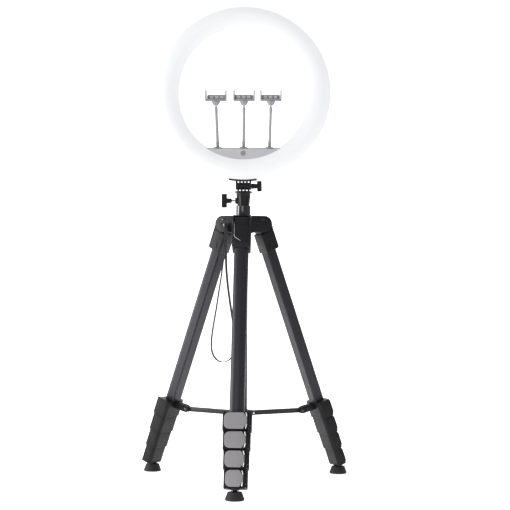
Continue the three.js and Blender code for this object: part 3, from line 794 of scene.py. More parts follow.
sh = Shell()
put(sh, prism(soft_segment(133.7, CHORD, 120, 1.2), "y", -18, 12, 0.9), HEAD)
panel = build("panel_body", sh, GREY, "ring_head", "control_panel")
sh = Shell()
put(sh, prism(soft_segment(138.3, CHORD, 120, 1.6), "y", -19.5, -17.7, 0.75, 4, 0.3), HEAD)
bezel = build("panel_bezel", sh, GREY, "ring_head")
for o in (panel, bezel):
    cut_ = Shell()
    put(cut_, rod("y", -30, -14, 3.9, (0, BUTTON_Z), 48, 0.01))
    carve(o, cut_)
sh = Shell()
groove = [(4.6, -19.62), (5.5, -19.62), (5.5, -19.3), (4.6, -19.3)]
turned(sh, fillet(groove, 0.1, 2), 48, "y", T(0, 0, BUTTON_Z), closed=True)
build("button_ring", sh, BUTTON, "ring_head")
sh = Shell()
for x in ARM_X:
    turned(
        sh,
        fillet([(0, -1), (9.25, -1), (9.25, 1.3), (9.0, 2.6), (6.4, 4.0), (4.4, 3.6), (4.3, 2.2), (0, 2.2)], [0, 0.3, 0.5, 0.9, 1.4, 0.3, 0, 0], 4, closed=False),
        48, "z", T(x, ARM_Y, PANEL_TOP),
    )
build("panel_cups", sh, GREY_NECK, "ring_head")
sh = Shell()
turned(sh, fillet([(0, -14.6), (3.5, -14.6), (3.5, -20.3), (2.4, -20.65), (1.2, -20.3), (0, -20.2)], [0, 0.2, 0.6, 0.5, 0.4, 0], 4, closed=False), 48, "y", T(0, 0, BUTTON_Z))
build("power_button_cap", sh, BUTTON, "power_button", "power_button")

# gooseneck arms and clips
for i, side in enumerate(("left", "centre", "right")):
    arm = T(ARM_X[i], ARM_Y, BALL_Z) @ R("Y", rad(LEAN[i]))
    h = BALL_H
    prof = [(0, -3.6), *[(3.6 * math.sin(rad(a)), -3.6 * math.cos(rad(a))) for a in range(20, 121, 10)]]
    prof += [(3.55, 3.2), (3.55, 7.6), (3.3, 8.4), (2.95, 9.0)]
    z = 9.6
    k = 0
    while z < h - 17.4:
        prof.append((3.0 if k % 2 else 2.82, z))
        z += 0.9
        k += 1
    prof += [(3.2, h - 16.6), (3.4, h - 15.8), (3.4, h - 7.2), (3.1, h - 6.2), (1.8, h - 5.2), (1.8, h - 2.9)]
    prof += [(3.35 * math.sin(rad(a)), h + 0.15 - 3.35 * math.cos(rad(a))) for a in range(40, 171, 10)] + [(0, h + 3.4)]
    sh = Shell()
    turned(sh, prof, 32, "z", arm)
    build(f"{side}_gooseneck", sh, GREY_NECK, f"{side}_phone_arm", f"{side}_phone_arm", sharp=60)

    clip = arm @ T(0, 0, h) @ R("Y", -rad(LEAN[i]))
    d = -1 if side == "left" else 1
    D = np.diag([d, 1.0, 1.0, 1.0])
    C = clip @ D
    sh = Shell()
    turned(sh, fillet([(3.9, -1.3), (5.2, -1.3), (8.75, 5.5), (8.75, 7.3), (0.01, 7.3), (0.01, 4.6), (3.0, 4.0), (3.9, 1.6)], [0.2, 0.4, 1.0, 0.2, 0, 0, 0.6, 0.6], 4), 40, "z", C, closed=True)
    put(sh, hollow(fillet([(-6.5, 7), (6.5, 7), (6.5, 11.2), (-6.5, 11.2)], 1.1, 5), fillet([(-3.3, 8.3), (3.3, 8.3), (3.3, 10), (-3.3, 10)], 0.2, 2), "x", -16.8, 19.2, r=0.5, centre=(0, 9.15), r_in=0.15), C)
    put(sh, prism(fillet([(-22, 7), (-16.4, 7), (-16.4, 11.2), (-19.4, 11.2), (-20.2, 31), (-22, 31)], [1.8, 0.2, 0.3, 1.4, 0.8, 0.8], 4), "y", -6.5, 6.5, 0.7), C)
    put(sh, prism(fillet([(-21.6, 10.6), (18.6, 10.6), (18.6, 21), (-21.6, 21)], [0.3, 0.4, 2.6, 1.2], 5), "y", 4.4, 6.4, 0.5), C)
    for q in range(3):
        put(sh, block(-15.5 + 10.6 * q, -8.3 + 10.6 * q, 4.0, 4.5, 13.2, 18.6, 0.15, 1.2, "y"), C, 1)
    for q in range(7):
        put(sh, block(-19.9, -19.35, -5.4, 5.4, 13.0 + 2.4 * q, 14.6 + 2.4 * q, 0.2, 0.2, "z"), C, 1)
    build(f"{side}_clip_frame", sh, [GREY_DARK, PAD], f"{side}_clip_body", f"{side}_clip_body")
    sh = Shell()
    put(sh, block(-16.5, 21, -3, 3, 8.6, 9.7, 0.25, 0.8, "z"), C)
    put(sh, prism(fillet([(19.5, 7), (22, 7), (22, 31), (20.2, 31), (19.5, 12)], [0.2, 0.9, 0.8, 0.8, 1.0], 4), "y", -6.5, 6.5, 0.6), C)
    for q in range(7):
        put(sh, block(19.3, 20.0, -5.4, 5.4, 13.0 + 2.4 * q, 14.6 + 2.4 * q, 0.2, 0.2, "z"), C, 1)
    build(f"{side}_clip_slider", sh, [GREY_DARK, PAD], f"{side}_clip_jaw", f"{side}_clip_jaw")

# ---------------------------------------------------------------- tilt joint
sh = Shell()


def saddle_arc(r, n=40):
    a0 = -90 + math.degrees(math.asin(-30.5 / r))
    a1 = -90 + math.degrees(math.asin(27.4 / r))
    return arc(0, RING_Z, r, a0, a1, n)


outline = saddle_arc(182.2) + saddle_arc(180.0)[::-1]
put(sh, prism(outline, "y", -12, 15, 0.5))
for k in (-4, -2, 0, 2, 4):
    outline = fillet([(-9, 619.4), (-FR, 612)], 0, 1) + arc(0, TILT_Z, FR, 180, 360, 28) + [(FR, 612), (9, 619.4)]
    put(sh, hollow(outline, circle(0, TILT_Z, 2.8), "x", k * PITCH - FT / 2, k * PITCH + FT / 2, r=0.35, centre=(0, TILT_Z)))
for x in (-25.5, 22.6):
    put(sh, lathe(fillet([(0, -0.6), (2.2, -0.6), (2.2, 0.5), (0, 0.9)], [0, 0.1, 0.4, 0], 3, closed=False), 24, "z"), T(x, 1.5, RING_Z - math.sqrt(180.6**2 - x * x)) @ R("Y", math.pi + math.asin(x / 181)), 1)
build("saddle_yoke", sh, [NYLON, DARK_STEEL], "ring_head", "saddle_bracket")


def ribbed(n, depth, lo_, hi_):
    return lambda h, a: 1 - depth * (0.5 - 0.5 * math.cos(n * a)) if lo_ < h < hi_ else 1.0


sh = Shell()
M = T(0, 0, TILT_Z) @ R("X", rad(33))
put(sh, rod("x", -15.4, 17, 2.4, (0, 0), 32, 0.4), M, 1)
turned(sh, fillet([(0, 16.4), (5.6, 16.4), (5.6, 18.0), (5.5, 18.6), (4.7, 27.6), (4.7, 28.8), (0, 28.8)], [0, 0.4, 0.2, 0.2, 0.2, 0.3, 0], 3, closed=False), 72, "x", M, wave=ribbed(12, 0.1, 18.3, 27.9))
grip = fillet([(-3.6, -12), (3.6, -12), (3.6, 12), (-3.6, 12)], 3.3, 6)
put(sh, prism(grip, "x", 28.2, 37.8, 1.3, 5), M)
for z in (-7.5, -4.5, 4.5, 7.5):
    put(sh, block(29.5, 36.5, -3.75, 3.75, z - 0.6, z + 0.6, 0.25, 0.5, "z"), M)
put(sh, lathe(fillet([(0, 37.6), (2.6, 37.6), (2.4, 38.1), (0, 38.1)], [0, 0, 0.2, 0], 2, closed=False), 24, "x"), M, 1)
build("tilt_knob_grip", sh, [NYLON, DARK_STEEL], "tilt_knob", "tilt_knob")

# adapter: four fingers on a flange, fluted taper, clamp boss
sh = Shell()


def flute(h, a):
    if not 569.6 < h < 591.2:
        return 1.0
    edge = min(1.0, (h - 569.6) / 1.2, (591.2 - h) / 1.6)
    p = 0.5 + 0.5 * math.cos(10 * (a + math.pi / 2) + math.pi)
    return 1 - 0.11 * max(0.0, edge) * (1 - p**2)


side_z = [569.7 + 1.08 * q for q in range(20)]
prof = [(0, 590.4), (8.3, 590.4), (8.3, 568.6), (8.6, 568.3), (12.1, 568.3), (12.5, 568.7)]
prof += [(12.5 + 2.3 * (z - 568.3) / 23.7, z) for z in side_z]
prof += fillet([(14.8, 591.9), (14.8, 594.0), (18.2, 594.6), (18.2, 597.2), (16.8, 598), (0, 598)], [0, 0.8, 0.5, 0.4, 0.5, 0], 3, closed=False)
turned(sh, prof, 160, "z", None, wave=flute)
put(sh, hollow(circle(0, KNOB_Z, 6.4, 48), circle(0, KNOB_Z, 2.1, 48), "x", -17, -10.2, r=0.7, centre=(0, KNOB_Z)))
for k in (-3, -1, 1, 3):
    outline = [(9, 596.5), (FR, 605), *arc(0, TILT_Z, FR, 0, 180, 28), (-FR, 605), (-9, 596.5)]
    put(sh, hollow(outline, circle(0, TILT_Z, 2.8), "x", k * PITCH - FT / 2, k * PITCH + FT / 2, r=0.35, centre=(0, TILT_Z)))
build("adapter_body", sh, NYLON_SOFT, "adapter_socket", "adapter_socket")

sh = Shell()
M = T(0, 0, KNOB_Z)
thread = [(0, -26.0), *[(1.8 if q % 2 else 1.55, -25.6 + 0.4 * q) for q in range(41)], (0, -8.95)]
turned(sh, thread, 24, "x", M, 1)
turned(sh, fillet([(0, -35), (5.2, -35), (5.2, -33.8), (5.1, -33), (4.7, -26), (4.3, -24.2), (0, -24)], [0, 0.3, 0.2, 0.2, 0.6, 0.6, 0], 3, closed=False), 72, "x", M, wave=ribbed(12, 0.09, -33.6, -25.4))
grip = fillet([(-4, -14.35), (4, -14.35), (4, 14.35), (-4, 14.35)], 3.0, 6)
put(sh, prism(grip, "x", -45, -34.2, 1.4, 5), M)
for z in (-10.2, -7.2, 7.2, 10.2):
    put(sh, block(-43.6, -35.6, -4.15, 4.15, z - 0.6, z + 0.6, 0.25, 0.5, "z"), M)
build("adapter_knob_grip", sh, [NYLON, STEEL], "adapter_knob", "adapter_knob")

# ---------------------------------------------------------------- column, guide tube, spider
sh = Shell()
prof = fillet([(0, 542), (6.9, 542), (6.9, 150), (8.3, 150), (8.3, 547.4), (0, 547.4)], [0, 0, 0.2, 0.4, 0, 0], 3, closed=False)
turned(sh, prof, 72, "z", None)
put(sh, lathe(fillet([(0, 566), (7.9, 566), (7.9, 590), (0, 590)], [0, 0, 0.8, 0], 4, closed=False), 64, "z"), None, 1)
build("column_tube", sh, [ANODISED, STEEL], "center_column", "center_column")
sh = Shell()
prof = fillet([(0, 547.4), (14.5, 547.4), (15.0, 547.9), (15.0, 549.6), (14.75, 549.8), (14.75, 550.3), (15.0, 550.5), (15.0, 567.2), (14.4, 568), (0, 568)], [0, 0, 0.3, 0, 0, 0, 0, 0.5, 0.5, 0], 3, closed=False)
turned(sh, prof, 96, "z", None)
build("column_sleeve", sh, GLOSS, "center_column")
sh = Shell()
turned(sh, fillet([(8.6, 118), (10, 118), (10, 540), (8.6, 540)], 0.35, 3), 72, "z", None, closed=True)
build("guide_tube_finish", sh, ANODISED, "spider", "guide_tube")

sh = Shell()
turned(sh, fillet([(10.4, 511), (19, 511), (20, 512.5), (20, 547.2), (8.7, 547.2), (8.7, 540.3), (10.4, 540.3)], [0.4, 1.0, 1.0, 1.2, 0.6, 0, 0], 4), 96, "z", None, closed=True)
turned(sh, fillet([(14.9, 546.9), (18.6, 546.9), (18.2, 547.2), (15.2, 547.2)], 0.05, 2), 96, "z", None, closed=True)
for side in ("front", "right", "left"):
    M = turn(side)
    cheek = [(-8, PIVOT_Z + 17), *arc(-PIVOT_R, PIVOT_Z, 17.3, 90, 270, 40), (-8, PIVOT_Z - 17.3)]
    put(sh, prism(cheek, "x", 15, 18.7, 0.4, 5, 1.7), M)
    put(sh, prism(cheek, "x", -18.7, -15, 1.7, 5, 0.4), M)
    roof = [(-8, 545.2), (-8, 547.2), (-41.2, 547.2), (-46.8, 546.4), (-47.0, 545.4), (-45.4, 545.2)]
    put(sh, prism(fillet(roof, [0.1, 0.3, 3, 0.8, 0.3, 0.3], 3), "x", -17.2, 17.2, 0.2), M)
    put(sh, rod("x", -15.5, 15.5, 4, (-PIVOT_R, PIVOT_Z), 40, 0.1), M, 1)
    for s in (1, -1):
        cap = fillet([(0, 18.2), (3.6, 18.2), (3.6, 18.8), (3.2, 19.1), (1.8, 19.1), (1.5, 18.75), (0, 18.75)], [0, 0, 0.2, 0.2, 0.2, 0.2, 0], 3, closed=False)
        put(sh, lathe([(r, s * h) for r, h in cap], 40, "x"), M @ T(0, -PIVOT_R, PIVOT_Z), 2)
        put(sh, block(18.3 * s, 19.0 * s, -41, -31.2, PIVOT_Z + 7.6, PIVOT_Z + 11.4, 0.3, 1.0, "x") if s > 0 else block(-19.0, -18.3, -41, -31.2, PIVOT_Z + 7.6, PIVOT_Z + 11.4, 0.3, 1.0, "x"), M, 3)
    # stiffening rib between the cheek and the hub
    for s in (1, -1):
        x0, x1 = sorted((18.3 * s, 19.3 * s))
        put(sh, prism(fillet([(-13, 512.2), (-11, 512.2), (-11, 545.2), (-13, 545.2)], 0.9, 4), "x", x0, x1, 0.35), M)
boss = fillet([(3.3, 15), (8, 15), (7.4, 31.5), (3.3, 31.5)], [0, 0, 0.8, 0.4], 4)
turned(sh, boss, 64, "y", T(0, 0, 529), closed=True)
build("spider_casting", sh, [NYLON_SOFT, DARK_STEEL, NYLON, GLOSS], "spider", "spider")

sh = Shell()
M = T(0, 0, 529)
put(sh, rod("y", 10.8, 34, 2.9, (0, 0), 40, 0.4), M, 1)
turned(sh, fillet([(0, 32), (9, 32), (11, 34), (11, 42), (9.4, 44), (6, 44), (5.4, 43.4), (0, 43.4)], [0, 0.5, 0.8, 0.6, 0.8, 0.3, 0.3, 0], 4, closed=False), 96, "y", M, wave=lambda h, a: 1 - 0.05 * (0.5 - 0.5 * math.cos(16 * a)) if 33 < h < 43.2 else 1.0)
build("column_lock_grip", sh, [NYLON, DARK_STEEL], "column_lock_knob", "column_lock_knob")

# ---------------------------------------------------------------- mid-level brace
sh = Shell()
turned(sh, fillet([(10.4, 132), (17.8, 132), (17.8, 146), (10.4, 146)], [0.4, 0.9, 0.9, 0.4], 4), 72, "z", None, closed=True)
turned(sh, fillet([(17.2, 137.2), (18.2, 137.2), (18.2, 140.8), (17.2, 140.8)], [0, 0.4, 0.4, 0], 3), 72, "z", None, closed=True)
for side in ("front", "right", "left"):
    M = turn(side)
    lug = [(-15.6, BRACE_Z + 5.2), *arc(-BRACE_IN, BRACE_Z, 5.2, 90, 270, 24), (-15.6, BRACE_Z - 5.2)]
    put(sh, prism(lug, "x", 2.8, 5.6, 0.3, 4, 0.7), M)
    put(sh, prism(lug, "x", -5.6, -2.8, 0.7, 4, 0.3), M)
    put(sh, rod("x", -3.3, 3.3, 1.8, (-BRACE_IN, BRACE_Z), 24, 0.1), M, 1)
    for s in (1, -1):
        put(sh, lathe([(r, s * h) for r, h in fillet([(0, 5.3), (2.6, 5.3), (2.6, 5.9), (1.6, 6.4), (0, 6.5)], [0, 0, 0.3, 0.4, 0], 3, closed=False)], 24, "x"), M @ T(0, -BRACE_IN, BRACE_Z), 1)
build("brace_hub_collar", sh, [NYLON, STEEL], "brace_hub", "brace_hub")


def stadium(y0, y1, z, r, n=20):
    return [*arc(y0, z, r, 90, 270, n), *arc(y1, z, r, 270, 450, n)]


for side in ("front", "right", "left"):
    M = turn(side)
    sh = Shell()
    put(sh, hollow(stadium(-BRACE_OUT, -BRACE_IN, BRACE_Z, 5), stadium(-BRACE_OUT + 8, -BRACE_IN - 8, BRACE_Z, 2.4), "x", -2.5, 2.5, r=0.7, centre=(-82, BRACE_Z), r_in=0.5), M)
    put(sh, prism(stadium(-BRACE_OUT + 8, -BRACE_IN - 8, BRACE_Z, 2.8), "x", -1.2, 1.2, 0.3), M)
    for y in (-BRACE_OUT, -BRACE_IN):
        put(sh, hollow(circle(y, BRACE_Z, 4.4, 40), circle(y, BRACE_Z, 2.2, 40), "x", -2.62, 2.62, r=0.25, centre=(y, BRACE_Z), r_in=0.1), M)
    arm_o = build(f"{side}_brace_link", sh, POWDER, f"{side}_brace_arm", f"{side}_brace_arm")

# ---------------------------------------------------------------- legs
KEEP_EDGE = 17.7


def stadium_z(y, z_hi, z_lo, r, n=14):
    return [*arc(y, z_hi, r, 0, 180, n), *arc(y, z_lo, r, 180, 360, n)]


def skin(rings):
    return loft(rings)


def front_panel(half, z_top, z_low, out=0.9):
    """Raised panel down the outside of the socket and over the knuckle, with an arched top."""
    rings = []
    steps = 46
    for i in range(steps + 1):
        s = z_top + (z_low - z_top) * i / steps
        arch = 17.0
        d = z_top - s
        w = half * math.sqrt(max(0.0, 1 - ((arch - d) / arch) ** 2)) if d < arch else half
        w = max(w, 0.9)
        y0 = -math.sqrt(14.5**2 - min(s, 14.4) ** 2) if s > -3.79 else -14.0 - 1.4 * min(1.0, (-3.79 - s) / 5.6)
        lift = out * min(1.0, (d + 0.15) / 1.2, (s - z_low + 0.1) / 1.2)
        yb, yf = y0 + 0.8, y0 - lift
        e = min(0.9, w * 0.5)
        rings.append([(-w, yb, s), (-w, yf + 0.45, s), (-w + 0.35 * e, yf + 0.12, s), (-w + e, yf, s), (0, yf - 0.25, s), (w - e, yf, s), (w - 0.35 * e, yf + 0.12, s), (w, yf + 0.45, s), (w, yb, s)])
    return skin(rings)


def crowned(outline, yfun, base, edge, mid, n=7, inner=9):
    """Plate in the x, z plane whose front follows yfun(x) with a rolled rim; base is its back."""
    o = np.array(dedupe(ccw(outline)))
    rings = [[(p[0], base, p[1]) for p in inset(o, 0.25)]]
    rings.append([(p[0], base - 0.25 if yfun(p[0]) < base else base + 0.25, p[1]) for p in o])
    for k in range(n + 1):
        t = math.pi / 2 * k / n
        r = inset(o, edge * (1 - math.cos(t)))
        rings.append([(p[0], yfun(q[0]) + edge * (1 - math.sin(t)), p[1]) for p, q in zip(r, r)])
    rim = inset(o, edge)
    c = np.array(mid)
    for k in range(1, inner):
        q = 1 - k / inner
        rings.append([(x, yfun(x), z) for x, z in (c + (np.array(p) - c) * q for p in rim)])
    return loft(rings)


for side in ("front", "right", "left"):
    L = leg(side)
    TURN = turn(side)
    # socket
    sh = Shell()
    outline = [(-15.4, -8.73), (-15.4, -53), (-14.6, -56), (14, -60), (14.8, -58), (14.8, -18), (0.4, -18), (0, KEEP_EDGE * -1)]
    outline = fillet(outline, [0.3, 1.6, 2.0, 1.6, 1.2, 0.6, 0.1, 0], 4, closed=False)[:-1] + arc(0, 0, KEEP_EDGE, -90, -150.4, 12)
    put(sh, prism(outline, "x", -18.5, 18.5, 1.3, 5), L)
    socket = build(f"{side}_socket_body", sh, NYLON_SOFT, f"{side}_leg", f"{side}_leg_socket", sharp=35)
    cut_ = Shell()
    put(cut_, prism(dshape(29.6, 26.6), "z", -70, -30, 0), L)
    for s in (1, -1):
        a, b = (17.6, 22) if s > 0 else (-22, -17.6)
        put(cut_, prism(stadium_z(5.4, -41.5, -49.5, 2.3), "x", a, b, 0), L)
    carve(socket, cut_)
    sh = Shell()
    tongue = [*arc(0, 0, 14.5, 0, 180, 48), (-14.3, -6), (-14.2, -8), (-14.2, -29), (12, -29), (12, -14)]
    put(sh, hollow(tongue, circle(0, 0, 4.4), "x", -14.6, 14.6, r=0.8, centre=(0, 0)), L)
    put(sh, front_panel(13.9, 6.0, -51.0), L)
    for s in (1, -1):
        x0, x1 = sorted((18.3 * s, 18.95 * s))
        put(sh, prism(fillet([(-14.4, -54.3), (-14.4, -13.5), (-12.3, -14.4), (-12.3, -54.6)], [0.6, 0.4, 0.4, 0.6], 3), "x", x0, x1, 0.3), L)
    build(f"{side}_socket_knuckle", sh, NYLON_SOFT, f"{side}_leg", sharp=35)
    sh = Shell()
    trim = [(-14.35, -15.0, -3.0), (-14.35, -16.4, -9.5), (-14.35, -16.4, -33.5), (-13.2, -16.5, -36.0), (-1.5, -16.75, -44.0)]
    ring = [np.array(q) for q in trim]
    pts = [ring[0], (ring[0] + ring[1]) / 2] + [ring[1] + (ring[2] - ring[1]) * k / 6 for k in range(6)] + [ring[2], ring[3]] + [ring[3] + (ring[4] - ring[3]) * k / 4 for k in range(1, 5)]
    rings = []
    for i, q in enumerate(pts):
        t = pts[min(i + 1, len(pts) - 1)] - pts[max(i - 1, 0)]
        t = t / np.linalg.norm(t)
        w = np.cross(t, (0, 1, 0))
        w /= np.linalg.norm(w)
        k = 0.55 if 0 < i < len(pts) - 1 else 0.3
        thick = 0.45 if i < 9 else 0.75
        rings.append([q + w * thick * math.cos(a) * k / 0.55 + np.array((0, 1, 0)) * k * math.sin(a) for a in (2 * math.pi * j / 12 for j in range(12))])
    put(sh, loft(rings), L)
    build(f"{side}_socket_trim", sh, STEEL_SOFT, f"{side}_leg")

    for i in range(5):
        w, d = SEC_W[i], SEC_D[i]
        top = -SEC_TOP[i]
        body = f"{side}_leg" if i == 0 else f"{side}_leg_section_{i + 1}"
        low = -545.2 if i == 4 else -LOCK_S[i] - LOCK_H + 4
        sh = Shell()
        put(sh, hollow(dshape(w, d), dshape(w - 2.4, d - 2.4), "z", low, top, r=0.3, r_in=0.2), L)
        if i == 4:
            put(sh, prism(dshape(w - 2.6, d - 2.6), "z", -545.0, -520, 0.3), L, 1)
            yoke = fillet([(6.4, -543.6), (-1.6, -543.6)], 0, 1) + arc(2.4, -552.83, 4, 180, 360, 24)
            put(sh, prism(yoke, "x", -4, 4, 0.7, 4), L, 1)
        build(f"{side}_tube_{i + 1}", sh, [ANODISED if i == 0 else ANODISED_IN, NYLON], body, f"{side}_leg_section_{i + 1}", sharp=30)
        if i == 4:
            continue
        z1 = -LOCK_S[i]
        z0 = z1 - LOCK_H
        face, back = -(d / 2 + 1.2), d / 2 + 1
        xl, xh = LOCK_L[i] - 0.8, LOCK_X[i]
        yh, xr = face - 2.4, xh + 3.4
        sh = Shell()
        outline = fillet([(xl, face + 3), (xl + 1.5, face), (xr, face), (xr, back - 4), (xr - 5, back), (xl + 5, back), (xl, back - 4)], [1.4, 0.8, 0.9, 3, 3.5, 3.5, 3], 5)
        put(sh, hollow(outline, dshape(w - 2.4, d - 2.4), "z", z0, z1, r=0.9, n=4, r_in=0.3), L)
        # moulded bands round the collar
        for zb in (z0 + 4.2, z1 - 5.2):
            band = inset(outline, -0.3)
            put(sh, hollow([tuple(q) for q in band if True], [tuple(q) for q in inset(outline, 1.0)], "z", zb, zb + 1.0, r=0.25, n=2, r_in=0.1), L)
        for e0, e1 in ((z0, z0 + 6.8), (z1 - 6.8, z1)):
            ear = [*arc(xh, yh, 2.2, 180, 360, 20), (xr, yh + 1.2), (xr, face + 1), (xh - 2.2, face + 1)]
            put(sh, prism(ear, "z", e0, e1, 0.5, 3), L)
        put(sh, rod("z", z0 + 6, z1 - 6, 0.9, (xh, yh), 20, 0.1), L, 1)
        for e0, e1 in ((z0 - 0.12, z0 + 0.6), (z1 - 0.6, z1 + 0.12)):
            put(sh, rod("z", e0, e1, 1.2, (xh, yh), 24, 0.1), L, 1)
        if i == 0:
            fork = [(back - 1, -397.4), (back - 1, -411), (38.7, -408.8), (46.7, -407.3), (50.3, -402.8), (49.7, -396.3), (44.7, -393.9), (36.7, -393.9)]
            fork = fillet(fork, [0.2, 0.2, 6, 4, 3, 4, 4, 3], 5)
            put(sh, prism(fork, "x", 2.8, 5.8, 0.3, 3, 0.7), L)
            put(sh, prism(fork, "x", -5.8, -2.8, 0.7, 3, 0.3), L)
            for s in (1, -1):
                head_ = fillet([(0, 5.5), (3.6, 5.5), (3.4, 6.4), (2.2, 7.1), (0, 7.2)], [0, 0, 0.4, 0.6, 0], 3, closed=False)
                put(sh, lathe([(r, s * q) for r, q in head_], 32, "x"), L @ T(0, 43.34, -401.15), 2)
        build(f"{side}_collar_{i + 1}", sh, [NYLON, STEEL, GLOSS], body, sharp=35)

        # flip lever: black tray, grey crowned face with a tab to the hinge, bright wire
        f = face - 0.3
        xe = xh - 4.1
        xf = xr - 11.3  # right end of the grey face
        xt = xr - 8.2  # right end of its tab
        xa = xl * 0.3 + xe * 0.3
        zt, zb = z1 - 1.2, z0 + 1.2
        knots_x = [xl - 1, xl + 0.8, xl + 4.6, xa - 2, xa + 3, xe - 5, xe]
        knots_y = [f - 0.9, f - 1.4, f - 2.3, f - 3.6, f - 3.85, f - 3.6, f - 3.0]

        def crown(x, kx=knots_x, ky=knots_y):
            # smooth through the knots
            x = min(max(x, kx[0]), kx[-1])
            j = max(q for q in range(len(kx)) if kx[q] <= x)
            if j >= len(kx) - 1:
                return ky[-1]
            sl = [(ky[q + 1] - ky[q]) / (kx[q + 1] - kx[q]) for q in range(len(kx) - 1)]
            t0 = sl[0] if j == 0 else (sl[j - 1] + sl[j]) / 2
            t1 = sl[-1] if j + 1 >= len(kx) - 1 else (sl[j] + sl[j + 1]) / 2
            hh = kx[j + 1] - kx[j]
            t = (x - kx[j]) / hh
            return (2 * t**3 - 3 * t**2 + 1) * ky[j] + (t**3 - 2 * t**2 + t) * hh * t0 + (-2 * t**3 + 3 * t**2) * ky[j + 1] + (t**3 - t**2) * hh * t1

        sh = Shell()
        tray = fillet([(xl + 0.8, zb + 0.1), (xe, zb + 0.1), (xe, zt - 0.1), (xl + 0.8, zt - 0.1)], [8.0, 1.2, 1.2, 8.0], 8)
        put(sh, prism(tray, "y", f - 1.7, f, 0.7, 3, 0.3), L, 1)
        face_o = fillet(
            [(xl + 2.8, zt - 0.9), (xf - 4.6, zt - 0.9), (xf, zt - 8.8), (xt, zt - 10.6), (xt, zb + 10.6), (xf, zb + 8.8), (xf - 4.6, zb + 0.9), (xl + 2.8, zb + 0.9)],
            [10.6, 2.6, 2.0, 2.2, 2.2, 2.0, 2.6, 10.6], 7,
        )
        put(sh, crowned(face_o, crown, f - 0.7, 0.9, ((xl + xf) / 2, (zt + zb) / 2)), L, 0)
        for z_a, z_b in ((zt - 1.2, zt - 9.6), (zb + 1.2, zb + 9.6)):
            pa, pb = np.array((xt - 2.6, f - 2.8, z_a)), np.array((xt - 0.9, f - 3.1, z_b))
            rings = []
            for k, rr_ in ((0, 0.7), (0.06, 1.25), (0.5, 1.3), (0.94, 1.25), (1, 0.7)):
                q = pa + (pb - pa) * k
                rings.append([q + (rr_ * math.cos(2 * math.pi * j / 16), rr_ * math.sin(2 * math.pi * j / 16), 0) for j in range(16)])
            put(sh, loft(rings), L, 2)
        put(sh, hollow(circle(xh, yh, 2.0, 40), circle(xh, yh, 1.25, 40), "z", z0 + 7.4, z1 - 7.4, r=0.25, centre=(xh, yh), r_in=0.1), L, 1)
        put(sh, block(xt - 0.6, xh - 1.2, yh - 1.5, yh + 0.7, z0 + 7.6, z1 - 7.6, 0.3, 0.6, "z"), L, 1)
        build(f"{side}_lever_{i + 1}", sh, [LEVER, LEVER_BLACK, STEEL], f"{side}_lock_lever_{i + 1}", f"{side}_lock_lever_{i + 1}", sharp=40)

    # foot
    M = TURN @ T(0, -ANKLE_R, 0)
    prof = [
        (0, 0), (7.0, 0), (7.5, 0.7), (8.5, 0.7), (9.0, 0), (12.0, 0), (12.5, 0.7), (13.5, 0.7), (14.0, 0), (17.6, 0), (18.5, 0.8), (18.5, 3.2),
        (18.0, 4.4), (17.6, 4.6), (14.2, 14.6), (13.2, 15.4), (8.8, 16.0), (0, 16.0),
    ]
    rr = [0, 0.1, 0.2, 0.2, 0.1, 0.1, 0.2, 0.2, 0.1, 0.4, 0.5, 1.2, 0.3, 0.3, 0.9, 0.9, 0.8, 0]
    sh = Shell()
    turned(sh, fillet(prof, rr, 3, closed=False), 96, "z", M)
    foot = build(f"{side}_rubber_foot", sh, RUBBER, f"{side}_foot", f"{side}_foot", sharp=45)
    cut_ = Shell()
    put(cut_, block(-4.5, 4.5, -10.5, 10.5, 6.2, 30, 0, 1.2, "z"), M)
    carve(foot, cut_)
    sh = Shell()
    put(sh, rod("x", -5.5, 5.5, 1.8, (0, ANKLE_Z), 24, 0.1), M)
    for s in (1, -1):
        put(sh, lathe([(r, s * q) for r, q in fillet([(0, 12.4), (2.6, 12.4), (2.4, 13.5), (0, 13.8)], [0, 0, 0.4, 0], 3, closed=False)], 24, "x"), M @ T(0, 0, ANKLE_Z))
    build(f"{side}_ankle_pin", sh, DARK_STEEL, f"{side}_foot")

    # rubber end cap on the last tube, cut to the underside of the collar above it
    sh = Shell()
    turned(sh, fillet([(0, 20.4), (10.8, 20.4), (11.4, 21.1), (9.9, 23.4), (9.4, 26), (0, 26)], [0, 0.3, 0.4, 0.8, 0.3, 0], 3, closed=False), 96, "z", M)
    cap = build(f"{side}_end_cap", sh, RUBBER, f"{side}_leg_section_5", sharp=45)
    cut_ = Shell()
    put(cut_, block(-30, 30, -30, 30, -543.75, -500, 0, 0, "z"), L)
    carve(cap, cut_)

# ---------------------------------------------------------------- studio
def stage_material(name, base, rough):
    m = material(name, base, rough, grain=300, bump=0.02, depth=0.00001, var=0.004, rvar=0.02, scale=2.0)
    return m


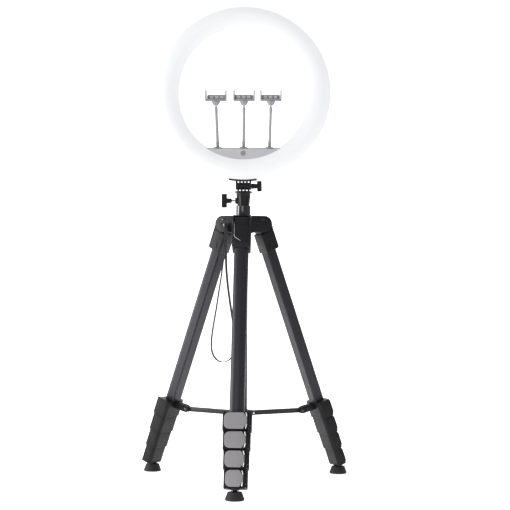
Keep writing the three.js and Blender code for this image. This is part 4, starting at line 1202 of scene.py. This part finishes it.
def plane(name, verts, faces, m):
    me = bpy.data.meshes.new(name)
    me.from_pydata(verts, [], faces)
    me.materials.append(m)
    o = bpy.data.objects.new(name, me)
    bpy.context.scene.collection.objects.link(o)
    return o


FLOOR = material("floor_paper", (0.93, 0.93, 0.935), 0.8, grain=300, bump=0.02, depth=0.00001, var=0.004, rvar=0.02, scale=2.0, emit=0.8)
# seamless sweep: flat floor that curves up into a backdrop
sweep = [(-1.6, -0.0002), (2.6, -0.0002)] + [(2.6 + 1.6 * math.sin(a), -0.0002 + 1.6 * (1 - math.cos(a))) for a in (math.pi / 2 * q / 24 for q in range(1, 25))] + [(4.2, 5.0)]
sv = [(x, y, z) for y, z in sweep for x in (-2.0, 2.0)]
backdrop = plane("floor", sv, [(2 * q, 2 * q + 1, 2 * q + 3, 2 * q + 2) for q in range(len(sweep) - 1)], FLOOR)
for poly in backdrop.data.polygons:
    poly.use_smooth = True

world_ = bpy.data.worlds.new("studio")
bpy.context.scene.world = world_
world_.use_nodes = True
wn, wl = world_.node_tree.nodes, world_.node_tree.links
bg = wn["Background"]
bg.inputs["Color"].default_value = (0.45, 0.45, 0.455, 1)
bg.inputs["Strength"].default_value = 1.0


def area(name, loc, target, sx, sy, power, col=(1, 1, 1)):
    d = bpy.data.lights.new(name, "AREA")
    d.shape = "RECTANGLE"
    d.size, d.size_y = sx, sy
    d.energy = power
    d.color = col
    o = bpy.data.objects.new(name, d)
    bpy.context.scene.collection.objects.link(o)
    o.location = loc
    o.rotation_euler = (Vector(target) - Vector(loc)).to_track_quat("-Z", "Y").to_euler()
    return o


area("key_left", (-2.6, -0.15, 0.6), (0, 0, 0.3), 1.3, 1.8, 70)
area("fill_front", (-0.7, -3.4, 1.7), (0, 0, 0.4), 1.8, 1.4, 18)
area("top_back", (0.4, 2.6, 3.0), (0, 0, 0.3), 3.0, 3.0, 60)

scene = bpy.context.scene
scene.view_settings.view_transform = "Standard"
scene.view_settings.look = "None"
scene.view_settings.exposure = 0.0
scene.view_settings.gamma = 1.0
